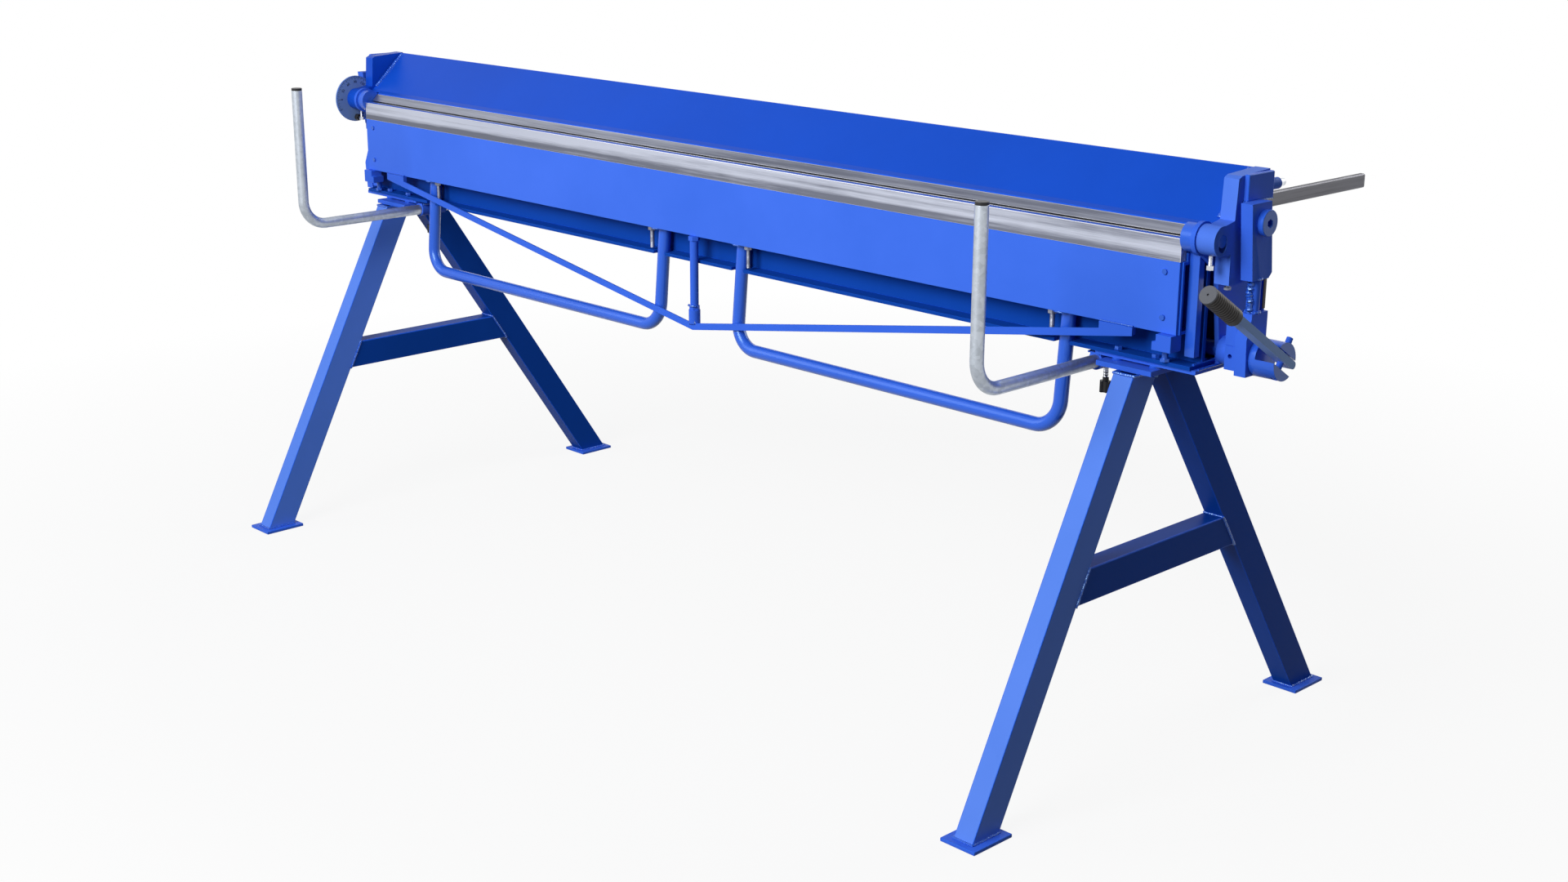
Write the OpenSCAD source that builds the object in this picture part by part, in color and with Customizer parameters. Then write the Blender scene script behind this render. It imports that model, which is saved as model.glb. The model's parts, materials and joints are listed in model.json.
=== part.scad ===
// Manual sheet metal brake: clamping beam with eccentric links, swinging bending beam, two trestles.
// Datum before the last shift: X = 0 mid machine, Y = 0 front of the face plate, Z = 0 the floor.

/* [Bending line] */
// Clear bending width between the two end arms
working_width = 2160; // [1900:10:2400]
// Height of the table's top edge above the floor
table_height = 889; // [870:1:910]
// Gap between the jaws when they are set for the thickest sheet
sheet_gap = 2.5; // [1.5:0.1:3.5]
// Lift of the clamping beam from clamped to open
clamp_lift = 7; // [5:0.1:7]
// Height of the hinge axis above the table's top edge
hinge_rise = 2; // [1.5:0.1:2.5]

/* [Bending beam] */
// Height of the painted face plate
face_height = 111; // [100:1:120]
// Thickness of the painted face plate
face_thickness = 5; // [4:0.5:6]
// Height of the steel bending blade
bending_blade_height = 36; // [30:1:40]
// Thickness of the steel bending blade
bending_blade_thickness = 15; // [12:0.5:16]
// Depth of the box section behind the face plate
bending_box_depth = 31; // [28:0.5:33]
// Wall of the box section behind the face plate
bending_box_wall = 5; // [3:0.5:7]
// Width of the painted bar below each hinge ring
end_arm_width = 17.6; // [12:0.1:20]
// Depth of the painted bar below each hinge ring
end_arm_depth = 13; // [10:0.5:15]
// Radius of the hinge ring on each end of the bending beam
ring_radius = 22.5; // [20:0.5:24]
// Radius of the hinge pin
hinge_pin_radius = 10; // [8:0.5:11]

/* [Handles and truss] */
// Outer diameter of the handle tubes
handle_diameter = 24; // [20:0.5:26]
// Wall of the handle tubes
handle_wall = 2.5; // [1.5:0.1:4]
// Distance from mid machine to the inner leg of a handle
handle_inner = 109; // [90:1:150]
// Distance from the end of the face plate to the outer leg of a handle
handle_inset = 220; // [210:1:260]
// Drop of a handle's grip run below the face plate
handle_drop = 194; // [160:1:220]
// Bend radius of the handle tubes
handle_bend = 48; // [40:1:60]
// Drop of the truss bar's middle below the face plate
truss_drop = 172; // [140:1:180]
// Height of the flat truss bar
truss_height = 12.6; // [8:0.2:16]
// Thickness of the flat truss bar
truss_thickness = 4; // [3:0.5:5]

/* [Lower beam] */
// Depth of the lower beam from the table's top edge to its underside
beam_depth = 199; // [190:1:205]
// Thickness of the bottom flange
flange_thickness = 6; // [5:0.5:8]
// Thickness of the front web
web_thickness = 8; // [6:0.5:10]
// Thickness of the steel lower blade and of the plate below it
table_thickness = 12; // [10:0.5:14]
// Width of the bottom flange, front to back
flange_width = 140; // [135:1:150]
// Thickness of the end plates
end_plate_thickness = 8; // [7:0.5:9]

/* [Clamp] */
// Thickness of a cheek plate
cheek_thickness = 26; // [22:1:28]
// Height of the sloping clamping beam above its underside
clamp_beam_height = 90; // [80:1:95]
// Depth of the sloping clamping beam, front to back
clamp_beam_depth = 94; // [90:1:100]
// Wall of the sloping clamping beam
clamp_beam_wall = 6; // [5:0.5:8]
// Radius of the clamping shaft
shaft_radius = 12; // [10:0.5:13]
// Radius of the eccentric at each end of the shaft
eccentric_radius = 18; // [17:0.5:19]
// Radius of the slotted head that holds the lever
lever_head_radius = 29.5; // [28:0.5:30]
// Width of the flat lever
lever_width = 18; // [16:0.5:20]
// Thickness of the flat lever
lever_thickness = 12.5; // [10:0.5:14]
// Length of the lever from the shaft's axis to the grip's end
lever_length = 237; // [225:1:280]
// Diameter of the ribbed grip
grip_diameter = 28; // [24:0.5:31]
// Length of the ribbed grip
grip_length = 78; // [74:1:100]
// Radius of the angle dial
dial_radius = 50; // [46:0.5:51]

/* [Stand] */
// Width of a leg tube across the machine
leg_width = 38; // [30:1:44]
// Horizontal depth of a front leg
front_leg_depth = 62; // [50:1:64]
// Horizontal depth of a rear leg
rear_leg_depth = 68; // [56:1:70]
// Wall of the leg tubes
leg_wall = 3; // [2:0.5:5]
// Distance from the end of the working width to the middle of a trestle
trestle_inset = 77; // [77:1:100]
// Reach of the front feet in front of the face plate
front_reach = 330; // [300:1:360]
// Reach of the rear feet behind the face plate
rear_reach = 542; // [500:1:580]
// Height of the crossbar above the floor
brace_height = 328; // [250:1:400]
// Depth of the crossbar's tube
brace_depth = 56; // [40:1:60]

/* [Sheet supports] */
// Outer diameter of the front arm's pipe
arm_diameter = 21.3; // [20:0.1:22]
// Wall of the front arm's pipe
arm_wall = 2.6; // [2:0.1:3.2]
// Distance from the end of the working width to a front arm
arm_inset = 161; // [158:1:170]
// Height of a front arm's top above the table
arm_rise = 61; // [30:1:90]
// Reach of a front arm in front of the face plate
arm_reach = 266; // [255:1:300]
// Width of a rear support bar
rear_bar_width = 12; // [10:0.5:14]
// Height of a rear support bar
rear_bar_height = 25; // [20:0.5:26]
// Length of a rear support bar
rear_bar_length = 560; // [500:5:650]
// Travel of a rear support bar in its sleeve
rear_bar_travel = 100; // [60:1:100]

/* [Hidden] */

unit = 1;
run = 0.05 * unit;
seat = 0.02 * unit;
gap = 0.5 * unit;
over = 1 * unit;
painted_blue = [0.09, 0.32, 0.86];
deep_blue = [0.06, 0.2, 0.55];
steel = [0.72, 0.72, 0.75];
zinc = [0.6, 0.61, 0.65];
black = [0.08, 0.08, 0.09];
grey_cap = [0.4, 0.42, 0.46];

// Places across the machine, from the middle outwards
half = working_width / 2;
trestle_place = half - trestle_inset;
ring_in = half + over;
bar_in = half + 3 * unit;
ring_out = bar_in + end_arm_width;
plate_in = ring_out + gap;
plate_out = plate_in + end_plate_thickness;
hub_in = plate_out + gap;
hub_length = 5.5 * unit;
cheek_in = hub_in + hub_length;
cheek_out = cheek_in + cheek_thickness;
cheek_middle = (cheek_in + cheek_out) / 2;
link_gap = 9 * unit;
link_thickness = 20 * unit;
link_in = cheek_out + link_gap;
link_out = link_in + link_thickness;
boss_thickness = 10 * unit;
lug_in = link_in + gap;
lug_width = link_thickness;
lug_out = lug_in + lug_width;
head_length = 44.5 * unit;
lever_proud = 2.4 * unit;
lever_raise = 4 * unit;
head_in = lug_out + gap;
head_out = head_in + head_length;
slot_depth = 33 * unit;
slot_width = 26 * unit;
collar_width = 9 * unit;
collar_out = lug_out + gap + collar_width;

// Heights
underside = table_height - beam_depth;
flange_top = underside + flange_thickness;
base_thickness = 6 * unit;
base_bottom = underside - base_thickness;
spacer_thickness = 4 * unit;
head_plate_top = base_bottom - spacer_thickness;
head_plate_thickness = 8 * unit;
leg_top = head_plate_top - head_plate_thickness;
foot_thickness = 6 * unit;
blade_bottom = table_height - table_thickness;
top_plate_bottom = blade_bottom - table_thickness;
bending_blade_bottom = table_height - bending_blade_height;
face_bottom = bending_blade_bottom - face_height;

// Hinge line of the bending beam
hinge_y = bending_blade_thickness + over;
hinge_z = table_height + hinge_rise;
lug_radius = ring_radius + 3.5 * unit;
notch_radius = lug_radius + 2 * unit;
nose_radius = ring_radius + 0.5 * unit;

// Lower beam, front to back
box_back = face_thickness + bending_box_depth;
web_front = box_back + 5 * unit;
web_back = web_front + web_thickness;
flange_front = 10 * unit;
flange_back = flange_front + flange_width;
blade_back = web_front + 20 * unit;
top_plate_back = web_front + 52 * unit;
rear_plate_thickness = 6 * unit;
rear_plate_front = flange_back - 20 * unit;
rear_plate_back = rear_plate_front + rear_plate_thickness;
notch_half = handle_diameter / 2 + 4 * unit;
notch_back = flange_front + 29 * unit;
handle_outer = half - handle_inset;
rib_thickness = 6 * unit;
rib_gap = working_width / 6;
rib_hole = shaft_radius + 3 * unit;

// Clamping shaft and its eccentrics
shaft_y = web_back + 37 * unit;
shaft_z = underside + 22 * unit;
throw = clamp_lift / 2 / sin(45);
eccentric_drop = throw * sin(45);
eye_clearance = 1.1 * unit;
eye_radius = eccentric_radius + eye_clearance;
eye_wall = 6 * unit;
eye_y = shaft_y - throw * (1 + cos(45)) / 2;
eye_z = shaft_z - eccentric_drop;
bearing_radius = shaft_radius + 10 * unit;
bearing_reach = shaft_radius + 19 * unit;
bearing_in = link_in - 19 * unit;
bearing_drop = 21 * unit;
seam_z = shaft_z + 15.6 * unit;
seam_width = 1.2 * unit;
bearing_out = link_in - gap;
bearing_top = shaft_z + 48 * unit;
lever_tilt = 32;

// Clamping beam
jaw_bottom = table_height + sheet_gap;
jaw_setback = 2.2 * unit;
jaw_front = hinge_y + jaw_setback;
jaw_plate = 4.5 * unit;
jaw_slope = 13 * unit;
jaw_land = 2 * unit;
clamp_bottom = jaw_bottom + jaw_plate;
clamp_front = jaw_front + jaw_slope + jaw_land;
clamp_back = clamp_front + clamp_beam_depth;
clamp_top = clamp_bottom + clamp_beam_height;
clamp_floor = 12 * unit;
lip_depth = 10 * unit;
lip_low = 10 * unit;
lip_high = 15 * unit;
crest = 3 * unit;
jaw_back = clamp_front + 30 * unit;

// Cheeks, links and what bolts to them
cheek_front = hinge_y + 27 * unit;
cheek_lean = 4 * unit;
cheek_shoulder = hinge_z + 27 * unit;
cheek_corner = clamp_top - 7 * unit;
tail_bottom = hinge_z - 69 * unit;
tail_back = cheek_front + 32 * unit;
tail_front = cheek_front - 5 * unit;
hip_y = cheek_front + 55 * unit;
hip_z = hinge_z - 31 * unit;
boss_radius = 20 * unit;
boss_y = shaft_y - 10 * unit;
boss_z = hinge_z + 25 * unit;
bolt_radius = 8 * unit;
spacer_radius = 12 * unit;
block_front = boss_y - 16 * unit;
block_low = boss_z + 29 * unit;
block_high = clamp_top - over;
link_front = boss_y - 21 * unit;
link_back = boss_y + 30 * unit;
link_lean = 13 * unit;
link_high = boss_z + 30 * unit;
link_low = boss_z - 86 * unit;
link_cut = 8 * unit;
neck_radius = 10 * unit;
neck_y = boss_y;
neck_low = shaft_z + 68 * unit;
foot_low = shaft_z + 30 * unit;
foot_front = boss_y - 16 * unit;
foot_bulge = boss_y - 26 * unit;
foot_toe = boss_y - 23 * unit;
foot_drop = eye_radius + 0.75 * eye_wall;
foot_back = boss_y + 26 * unit;
strap_front = foot_back - 8 * unit;
strap_back = foot_back - over;
strap_width = 8 * unit;
pin_top_slot = hinge_pin_radius + 2 * run;
stub_radius = 9 * unit;
stub_length = 42 * unit;
stub_z = clamp_top - 27 * unit;
stub_screw_radius = 5.5 * unit;
stub_screw_length = 16 * unit;
screw_radius = 3.5 * unit;
screw_head_radius = 6 * unit;
screw_head = 7 * unit;
gap_screw_length = 15 * unit;
tail_screw_length = 6 * unit;
tail_screw_head = 4 * unit;

// Lever
lever_tail = 28 * unit;
peg_radius = 5 * unit;
peg_rise = 9 * unit;
cap_thickness = 4 * unit;
cap_hole = 1.5 * unit;
rib_pitch = 5.75 * unit;
rib_depth = 0.8 * unit;
grip_rib_count = 12;
grip_plain = 12 * unit;

// Dial
dial_thickness = 4 * unit;
dial_in = cheek_out + gap;
dial_out = dial_in + dial_thickness;
pin_cap_radius = 14 * unit;
pin_cap_thickness = 3 * unit;
dial_knob_radius = 7 * unit;
dial_knob_length = 10 * unit;
dial_knob_offset = 41 * unit;
dial_screw_radius = 2.5 * unit;

// Stand
front_top_y = 12 * unit;
rear_top_y = 91 * unit;
foot_width = 68 * unit;
foot_length = 88 * unit;
base_inner = trestle_place - 80 * unit;
base_front = 14 * unit;
head_plate_width = 104 * unit;
head_plate_front = -5 * unit;
head_plate_length = 145 * unit;
bolt_shank = 4 * unit;
bolt_head = 6.5 * unit;
bolt_head_height = 6 * unit;
bolt_inner = 42 * unit;
bolt_outer = 28 * unit;
head_plate_inner = 64 * unit;
front_bolt_y = 22 * unit;
rear_bolt_y = 124 * unit;
washer_radius = 9 * unit;
corner_bolt_radius = 7 * unit;
corner_bolt_height = 4 * unit;
corner_bolt_y = web_back + 14 * unit;

// Bending beam's small parts
lean = atan((11 + 5) * unit / handle_drop);
handle_y = 10 * unit;
block_width = 35 * unit;
block_height = 26 * unit;
block_tongue = 14 * unit;
block_step = 7 * unit;
block_forward = 12 * unit;
gusset_width = 63 * unit;
truss_end = half - 77 * unit;
post_radius = 8 * unit;
post_y = 2 * unit;
fork_height = 26 * unit;
fork_radius = 11 * unit;
nut_radius = 9 * unit;
nut_height = 8 * unit;
face_screw_radius = 4.5 * unit;
face_screw_height = 2.5 * unit;
face_screw_inset = 26 * unit;
face_screw_high = 17 * unit;
face_screw_low = 24 * unit;
adjuster_radius = 4 * unit;
adjuster_offset = 25 * unit;
rest_inset = 24 * unit;
rest_y = 10 * unit;
rest_radius = 5 * unit;
rest_head_radius = 8 * unit;
rest_head = 5 * unit;

// Front arms and rear bars
arm_radius = arm_diameter / 2;
arm_bend = 50 * unit;
sleeve_wall = 3.35 * unit;
sleeve_clearance = 0.1 * unit;
sleeve_radius = arm_radius + sleeve_wall;
sleeve_front = 20 * unit;
sleeve_length = 62 * unit;
sleeve_back = sleeve_front + sleeve_length;
sleeve_z = base_bottom - sleeve_radius;
arm_tail = 95 * unit;
arm_place = half - arm_inset;
arm_top = table_height + arm_rise;
plug_lip = 5 * unit;
plug_depth = 14 * unit;
knob_y = 50 * unit;
knob_radius = 10 * unit;
knob_height = 18 * unit;
knob_neck = 6 * unit;
knob_stem = 17 * unit;
knob_screw_radius = 4 * unit;
flute_radius = 5 * unit;
flute_place = knob_radius + flute_radius - 2.5 * unit;
flute_count = 5;
sleeve_box_wall = 4 * unit;
rear_clearance = 0.3 * unit;
rear_sleeve_length = 99 * unit;
rear_place = arm_place + 14 * unit;
rear_sleeve_bottom = top_plate_bottom - 6 * unit;
rear_bar_bottom = rear_sleeve_bottom + sleeve_box_wall + rear_clearance;
rear_bar_tucked = rear_plate_front - 33 * unit;
rear_sleeve_back = rear_plate_front + rear_sleeve_length;
gusset_drop = 59 * unit;

// Row origin: the floor under the middle of the whole outline
x_high = lever_x() + grip_diameter / 2;
x_low = -collar_out;
y_low = -front_reach - foot_length / 2;
y_high = rear_bar_tucked + rear_bar_travel + rear_bar_length;
shift = [-(x_high + x_low) / 2, -(y_high + y_low) / 2, 0];

module slab(x_from, x_to, outline) {
    translate([x_from, 0, 0])
        rotate([90, 0, 90])
            linear_extrude(height = x_to - x_from)
                polygon(outline);
}

module block(low, high) {
    translate(low)
        cube(high - low);
}

module rod_x(x_from, x_to, at, radius) {
    translate([x_from, at[0], at[1]])
        rotate([0, 90, 0])
            cylinder(h = x_to - x_from, r = radius, $fn = 64);
}

module rod_y(y_from, y_to, at, radius) {
    translate([at[0], y_from, at[1]])
        rotate([-90, 0, 0])
            cylinder(h = y_to - y_from, r = radius, $fn = 48);
}

module rod_z(z_from, z_to, at, radius, sides = 48) {
    translate([at[0], at[1], z_from])
        cylinder(h = z_to - z_from, r = radius, $fn = sides);
}

module both_ends() {
    children();
    mirror([1, 0, 0])
        children();
}

module left_side() {
    mirror([1, 0, 0])
        children();
}

// A tube that slants from the floor plates to the head plate, cut level at both ends
module slanted_tube(top_y, bottom_y, depth) {
    x_from = trestle_place - leg_width / 2;
    x_to = trestle_place + leg_width / 2;
    inside = depth - 2 * leg_wall;
    difference() {
        slab(x_from, x_to, leg_outline(top_y, bottom_y, depth));
        slab(x_from + leg_wall, x_to - leg_wall, leg_outline(top_y, bottom_y, inside));
    }
}

function leg_outline(top_y, bottom_y, depth) = [
    [bottom_y - depth / 2, foot_thickness],
    [bottom_y + depth / 2, foot_thickness],
    [top_y + depth / 2, leg_top],
    [top_y - depth / 2, leg_top]
];

function leg_y(top_y, bottom_y, height) =
    bottom_y + (top_y - bottom_y) * (height - foot_thickness) / (leg_top - foot_thickness);

module front_legs() {
    color(painted_blue)
        shifted()
            both_ends()
                slanted_tube(front_top_y, -front_reach, front_leg_depth);
}

module rear_legs() {
    color(painted_blue)
        shifted()
            both_ends()
                slanted_tube(rear_top_y, rear_reach, rear_leg_depth);
}

module foot(y_middle) {
    block([trestle_place - foot_width / 2, y_middle - foot_length / 2, 0],
        [trestle_place + foot_width / 2, y_middle + foot_length / 2, foot_thickness]);
}

module leg_feet() {
    color(deep_blue)
        shifted()
            both_ends() {
                foot(-front_reach);
                foot(rear_reach);
            }
}

module leg_braces() {
    low = brace_height;
    high = brace_height + brace_depth;
    outline = [
        [leg_y(front_top_y, -front_reach, low) + front_leg_depth / 2, low],
        [leg_y(rear_top_y, rear_reach, low) - rear_leg_depth / 2, low],
        [leg_y(rear_top_y, rear_reach, high) - rear_leg_depth / 2, high],
        [leg_y(front_top_y, -front_reach, high) + front_leg_depth / 2, high]
    ];
    x_from = trestle_place - leg_width / 2;
    x_to = trestle_place + leg_width / 2;
    color(painted_blue)
        shifted()
            both_ends()
                slab(x_from, x_to, outline);
}

module bolt_places() {
    for (x_side = [-bolt_inner, bolt_outer])
        for (y_place = [front_bolt_y, rear_bolt_y])
            translate([trestle_place + x_side, y_place, 0])
                children();
}

module bolt_holes() {
    bolt_places()
        rod_z(leg_top - over, flange_top + over, [0, 0], bolt_shank + 2 * run);
}

module leg_heads() {
    x_from = trestle_place - head_plate_inner;
    color(painted_blue)
        shifted()
            both_ends()
                difference() {
                    block([x_from, head_plate_front, leg_top],
                        [x_from + head_plate_width, head_plate_front + head_plate_length, head_plate_top]);
                    bolt_holes();
                }
}

module head_spacers() {
    color(steel)
        shifted()
            both_ends()
                bolt_places()
                    difference() {
                        rod_z(head_plate_top, base_bottom, [0, 0], washer_radius);
                        rod_z(head_plate_top - over, base_bottom + over, [0, 0], bolt_shank + 2 * run);
                    }
}

module base_plates() {
    color(painted_blue)
        shifted()
            both_ends()
                difference() {
                    block([base_inner, base_front, base_bottom], [plate_out, flange_back, underside]);
                    bolt_holes();
                }
}

module hold_down_bolts() {
    color(steel)
        shifted()
            both_ends()
                bolt_places() {
                    rod_z(flange_top, flange_top + bolt_head_height, [0, 0], bolt_head, 6);
                    rod_z(leg_top - bolt_head_height, flange_top, [0, 0], bolt_shank);
                    rod_z(leg_top - bolt_head_height, leg_top, [0, 0], bolt_head, 6);
                }
}

module corner_bolts() {
    color(steel)
        shifted()
            both_ends()
                translate([plate_in - 2 * corner_bolt_radius, corner_bolt_y, flange_top])
                    intersection() {
                        cylinder(h = corner_bolt_height, r = corner_bolt_radius, $fn = 48);
                        translate([0, 0, corner_bolt_height - 2 * corner_bolt_radius])
                            sphere(r = 2 * corner_bolt_radius, $fn = 64);
                    }
}

module beam_flange() {
    color(painted_blue)
        shifted()
            difference() {
                block([-plate_in, flange_front, underside], [plate_in, flange_back, flange_top]);
                both_ends() {
                    for (x_place = [handle_inner, handle_outer])
                        block([x_place - notch_half, flange_front - over, underside - over],
                            [x_place + notch_half, notch_back, flange_top + over]);
                    bolt_holes();
                }
            }
}

module beam_web() {
    color(painted_blue)
        shifted()
            block([-plate_in, web_front, flange_top], [plate_in, web_back, top_plate_bottom]);
}

module beam_top_plate() {
    color(painted_blue)
        shifted()
            block([-plate_in, web_front, top_plate_bottom], [plate_in, top_plate_back, blade_bottom]);
}

module beam_rear_plate() {
    color(painted_blue)
        shifted()
            block([-plate_in, rear_plate_front, flange_top],
                [plate_in, rear_plate_back, rear_sleeve_bottom]);
}

module beam_ribs() {
    outline = [
        [web_back, flange_top],
        [rear_plate_front, flange_top],
        [rear_plate_front, rear_sleeve_bottom],
        [top_plate_back, top_plate_bottom],
        [web_back, top_plate_bottom]
    ];
    color(painted_blue)
        shifted()
            difference() {
                for (place = [-2:2])
                    slab(place * rib_gap - rib_thickness / 2, place * rib_gap + rib_thickness / 2, outline);
                rod_x(-half, half, [shaft_y, shaft_z], rib_hole);
            }
}

module lower_blade() {
    color(steel)
        shifted()
            block([-half, hinge_y + gap, blade_bottom], [half, blade_back, table_height]);
}

// End plate with the lug that carries the hinge pin
module end_plate() {
    outline = [
        [hinge_y, hinge_z - lug_radius],
        [hinge_y + 40 * unit, hinge_z - 55 * unit],
        [hinge_y + 60 * unit, underside],
        [flange_back, underside],
        [flange_back, hinge_z + over],
        [hinge_y, hinge_z + over]
    ];
    difference() {
        union() {
            slab(plate_in, plate_out, outline);
            rod_x(plate_in, plate_out, [hinge_y, hinge_z], lug_radius);
        }
        rod_x(plate_in - over, plate_out + over, [hinge_y, hinge_z], hinge_pin_radius + run);
        rod_x(plate_in - over, plate_out + over, [shaft_y, shaft_z], shaft_radius + 2 * unit);
    }
}

module right_end_plate() {
    color(painted_blue)
        shifted()
            end_plate();
}

module left_end_plate() {
    color(painted_blue)
        shifted()
            left_side()
                end_plate();
}

// Bearing with a flat front, split across above the shaft and standing off the end plate on a tube
module shaft_bearings() {
    front = shaft_y - bearing_reach;
    back = shaft_y + bearing_reach;
    screw_x = (bearing_in + bearing_out) / 2;
    color(painted_blue)
        shifted()
            both_ends()
                difference() {
                    union() {
                        rod_x(plate_out, bearing_in + over, [shaft_y, shaft_z], bearing_radius);
                        block([bearing_in, front, shaft_z - bearing_drop], [bearing_out, back, bearing_top]);
                    }
                    rod_x(plate_out - over, bearing_out + over, [shaft_y, shaft_z], shaft_radius + run);
                    rod_y(front - over, shaft_y, [screw_x, shaft_z], screw_radius);
                    block([bearing_in - over, front - over, seam_z],
                        [bearing_out + over, front + seam_width, seam_z + seam_width]);
                }
}

module arm_sleeves() {
    color(painted_blue)
        shifted()
            both_ends()
                difference() {
                    union() {
                        rod_y(sleeve_front, sleeve_back, [arm_place, sleeve_z], sleeve_radius);
                        block([arm_place - arm_radius, sleeve_front, sleeve_z],
                            [arm_place + arm_radius, sleeve_back, base_bottom]);
                    }
                    rod_y(sleeve_front - over, sleeve_back + over, [arm_place, sleeve_z],
                        arm_radius + sleeve_clearance);
                    rod_z(sleeve_z - sleeve_radius - over, sleeve_z, [arm_place, knob_y],
                        knob_screw_radius + run);
                }
}

module rear_sleeves() {
    half_in = rear_bar_width / 2 + rear_clearance;
    half_out = half_in + sleeve_box_wall;
    high_in = rear_bar_bottom + rear_bar_height + rear_clearance;
    outline = [
        [rear_plate_back, rear_sleeve_bottom - gusset_drop],
        [rear_sleeve_back, rear_sleeve_bottom],
        [rear_plate_back, rear_sleeve_bottom]
    ];
    color(painted_blue)
        shifted()
            both_ends() {
                difference() {
                    block([rear_place - half_out, rear_plate_front, rear_sleeve_bottom],
                        [rear_place + half_out, rear_sleeve_back, high_in + sleeve_box_wall]);
                    block([rear_place - half_in, rear_plate_front - over, rear_bar_bottom - rear_clearance],
                        [rear_place + half_in, rear_sleeve_back + over, high_in]);
                }
                slab(rear_place - rib_thickness / 2, rear_place + rib_thickness / 2, outline);
            }
}

// Closed wedge section of plate, notched at both ends round the hinge lugs
module upper_beam() {
    slope_y = clamp_front + lip_depth;
    slope_z = clamp_bottom + lip_high;
    outside = [
        [clamp_front, clamp_bottom],
        [clamp_front, clamp_bottom + lip_low],
        [slope_y, slope_z],
        [clamp_back - crest, clamp_top],
        [clamp_back, clamp_top],
        [clamp_back, clamp_bottom]
    ];
    slant = (clamp_top - slope_z) / (clamp_back - crest - slope_y);
    inner_back = clamp_back - clamp_beam_wall;
    inner_low = clamp_bottom + clamp_floor;
    wall_shift = clamp_beam_wall / sin(atan(slant));
    inner_front = slope_y + wall_shift + (inner_low - slope_z) / slant;
    inside = [
        [inner_front, inner_low],
        [inner_back, inner_low + (inner_back - inner_front) * slant],
        [inner_back, inner_low]
    ];
    color(painted_blue)
        shifted()
            difference() {
                slab(-cheek_in, cheek_in, outside);
                slab(-cheek_in - over, cheek_in + over, inside);
                both_ends()
                    rod_x(half, cheek_in + over, [hinge_y, hinge_z], notch_radius);
            }
}

module upper_blade() {
    outline = [
        [jaw_front, jaw_bottom],
        [jaw_front + jaw_slope, jaw_bottom + jaw_slope],
        [clamp_front, jaw_bottom + jaw_slope],
        [clamp_front, clamp_bottom],
        [jaw_back, clamp_bottom],
        [jaw_back, jaw_bottom]
    ];
    color(steel)
        shifted()
            slab(-half, half, outline);
}

// Cheek with a round slotted nose, so that the clamping beam lifts past the hinge pin
module cheek() {
    outline = [
        [hinge_y + 4 * unit, hinge_z + nose_radius - 0.4 * unit],
        [cheek_front, cheek_shoulder],
        [cheek_front + cheek_lean, cheek_corner],
        [cheek_front + 3 * cheek_lean, clamp_top - 3 * unit],
        [clamp_back, clamp_top + over],
        [clamp_back, clamp_bottom],
        [hip_y, hip_z],
        [tail_back, tail_bottom],
        [tail_front, tail_bottom],
        [tail_front, hinge_z - nose_radius],
        [hinge_y, hinge_z - nose_radius]
    ];
    difference() {
        union() {
            slab(cheek_in, cheek_out, outline);
            rod_x(hub_in, cheek_out, [hinge_y, hinge_z], nose_radius);
            rod_y(clamp_back - over, clamp_back + stub_length, [cheek_middle, stub_z], stub_radius);
        }
        rod_x(hub_in - over, cheek_out + over, [hinge_y, hinge_z], pin_top_slot);
        rod_x(hub_in - over, cheek_out + over, [hinge_y, hinge_z - clamp_lift], pin_top_slot);
        block([hub_in - over, hinge_y - pin_top_slot, hinge_z - clamp_lift],
            [cheek_out + over, hinge_y + pin_top_slot, hinge_z]);
    }
}

module right_cheek() {
    color(painted_blue)
        shifted()
            cheek();
}

module left_cheek() {
    color(painted_blue)
        shifted()
            left_side()
                cheek();
}

module end_blocks() {
    color(painted_blue)
        shifted()
            both_ends()
                block([cheek_out, block_front, block_low], [link_in, clamp_back, block_high]);
}

module stub_screws() {
    stub_end = clamp_back + stub_length;
    color(steel)
        shifted()
            both_ends()
                rod_y(stub_end, stub_end + stub_screw_length, [cheek_middle, stub_z], stub_screw_radius);
}

// Link that pulls the cheek down when the eccentric turns in its eye
module link() {
    plate = [
        [link_front, link_low],
        [link_front - link_lean, link_high],
        [link_back - link_lean, link_high],
        [link_back, link_low + link_cut],
        [link_back - link_cut, link_low]
    ];
    foot_plate = [
        [foot_front, neck_low],
        [foot_front, neck_low - link_cut],
        [foot_bulge, foot_low],
        [foot_toe, eye_z - foot_drop],
        [eye_y + eye_radius + eye_wall, eye_z - foot_drop],
        [eye_y + eye_radius + eye_wall, eye_z],
        [foot_back, foot_low],
        [foot_back, neck_low]
    ];
    middle = (link_in + lug_out) / 2;
    difference() {
        union() {
            slab(link_in, link_out, plate);
            slab(lug_in, lug_out, foot_plate);
            rod_x(lug_in, lug_out, [eye_y, eye_z], eye_radius + eye_wall);
            rod_z(neck_low - over, link_low + over, [middle, neck_y], neck_radius);
            block([middle - strap_width / 2, strap_front, neck_low - over],
                [middle + strap_width / 2, strap_back, link_low + 2 * link_cut]);
        }
        rod_x(lug_in - over, lug_out + over, [eye_y, eye_z], eye_radius);
        rod_x(link_in - over, link_out + over, [boss_y, boss_z], bolt_radius + seat);
    }
}

module right_link() {
    color(painted_blue)
        shifted()
            link();
}

module left_link() {
    color(painted_blue)
        shifted()
            left_side()
                link();
}

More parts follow.
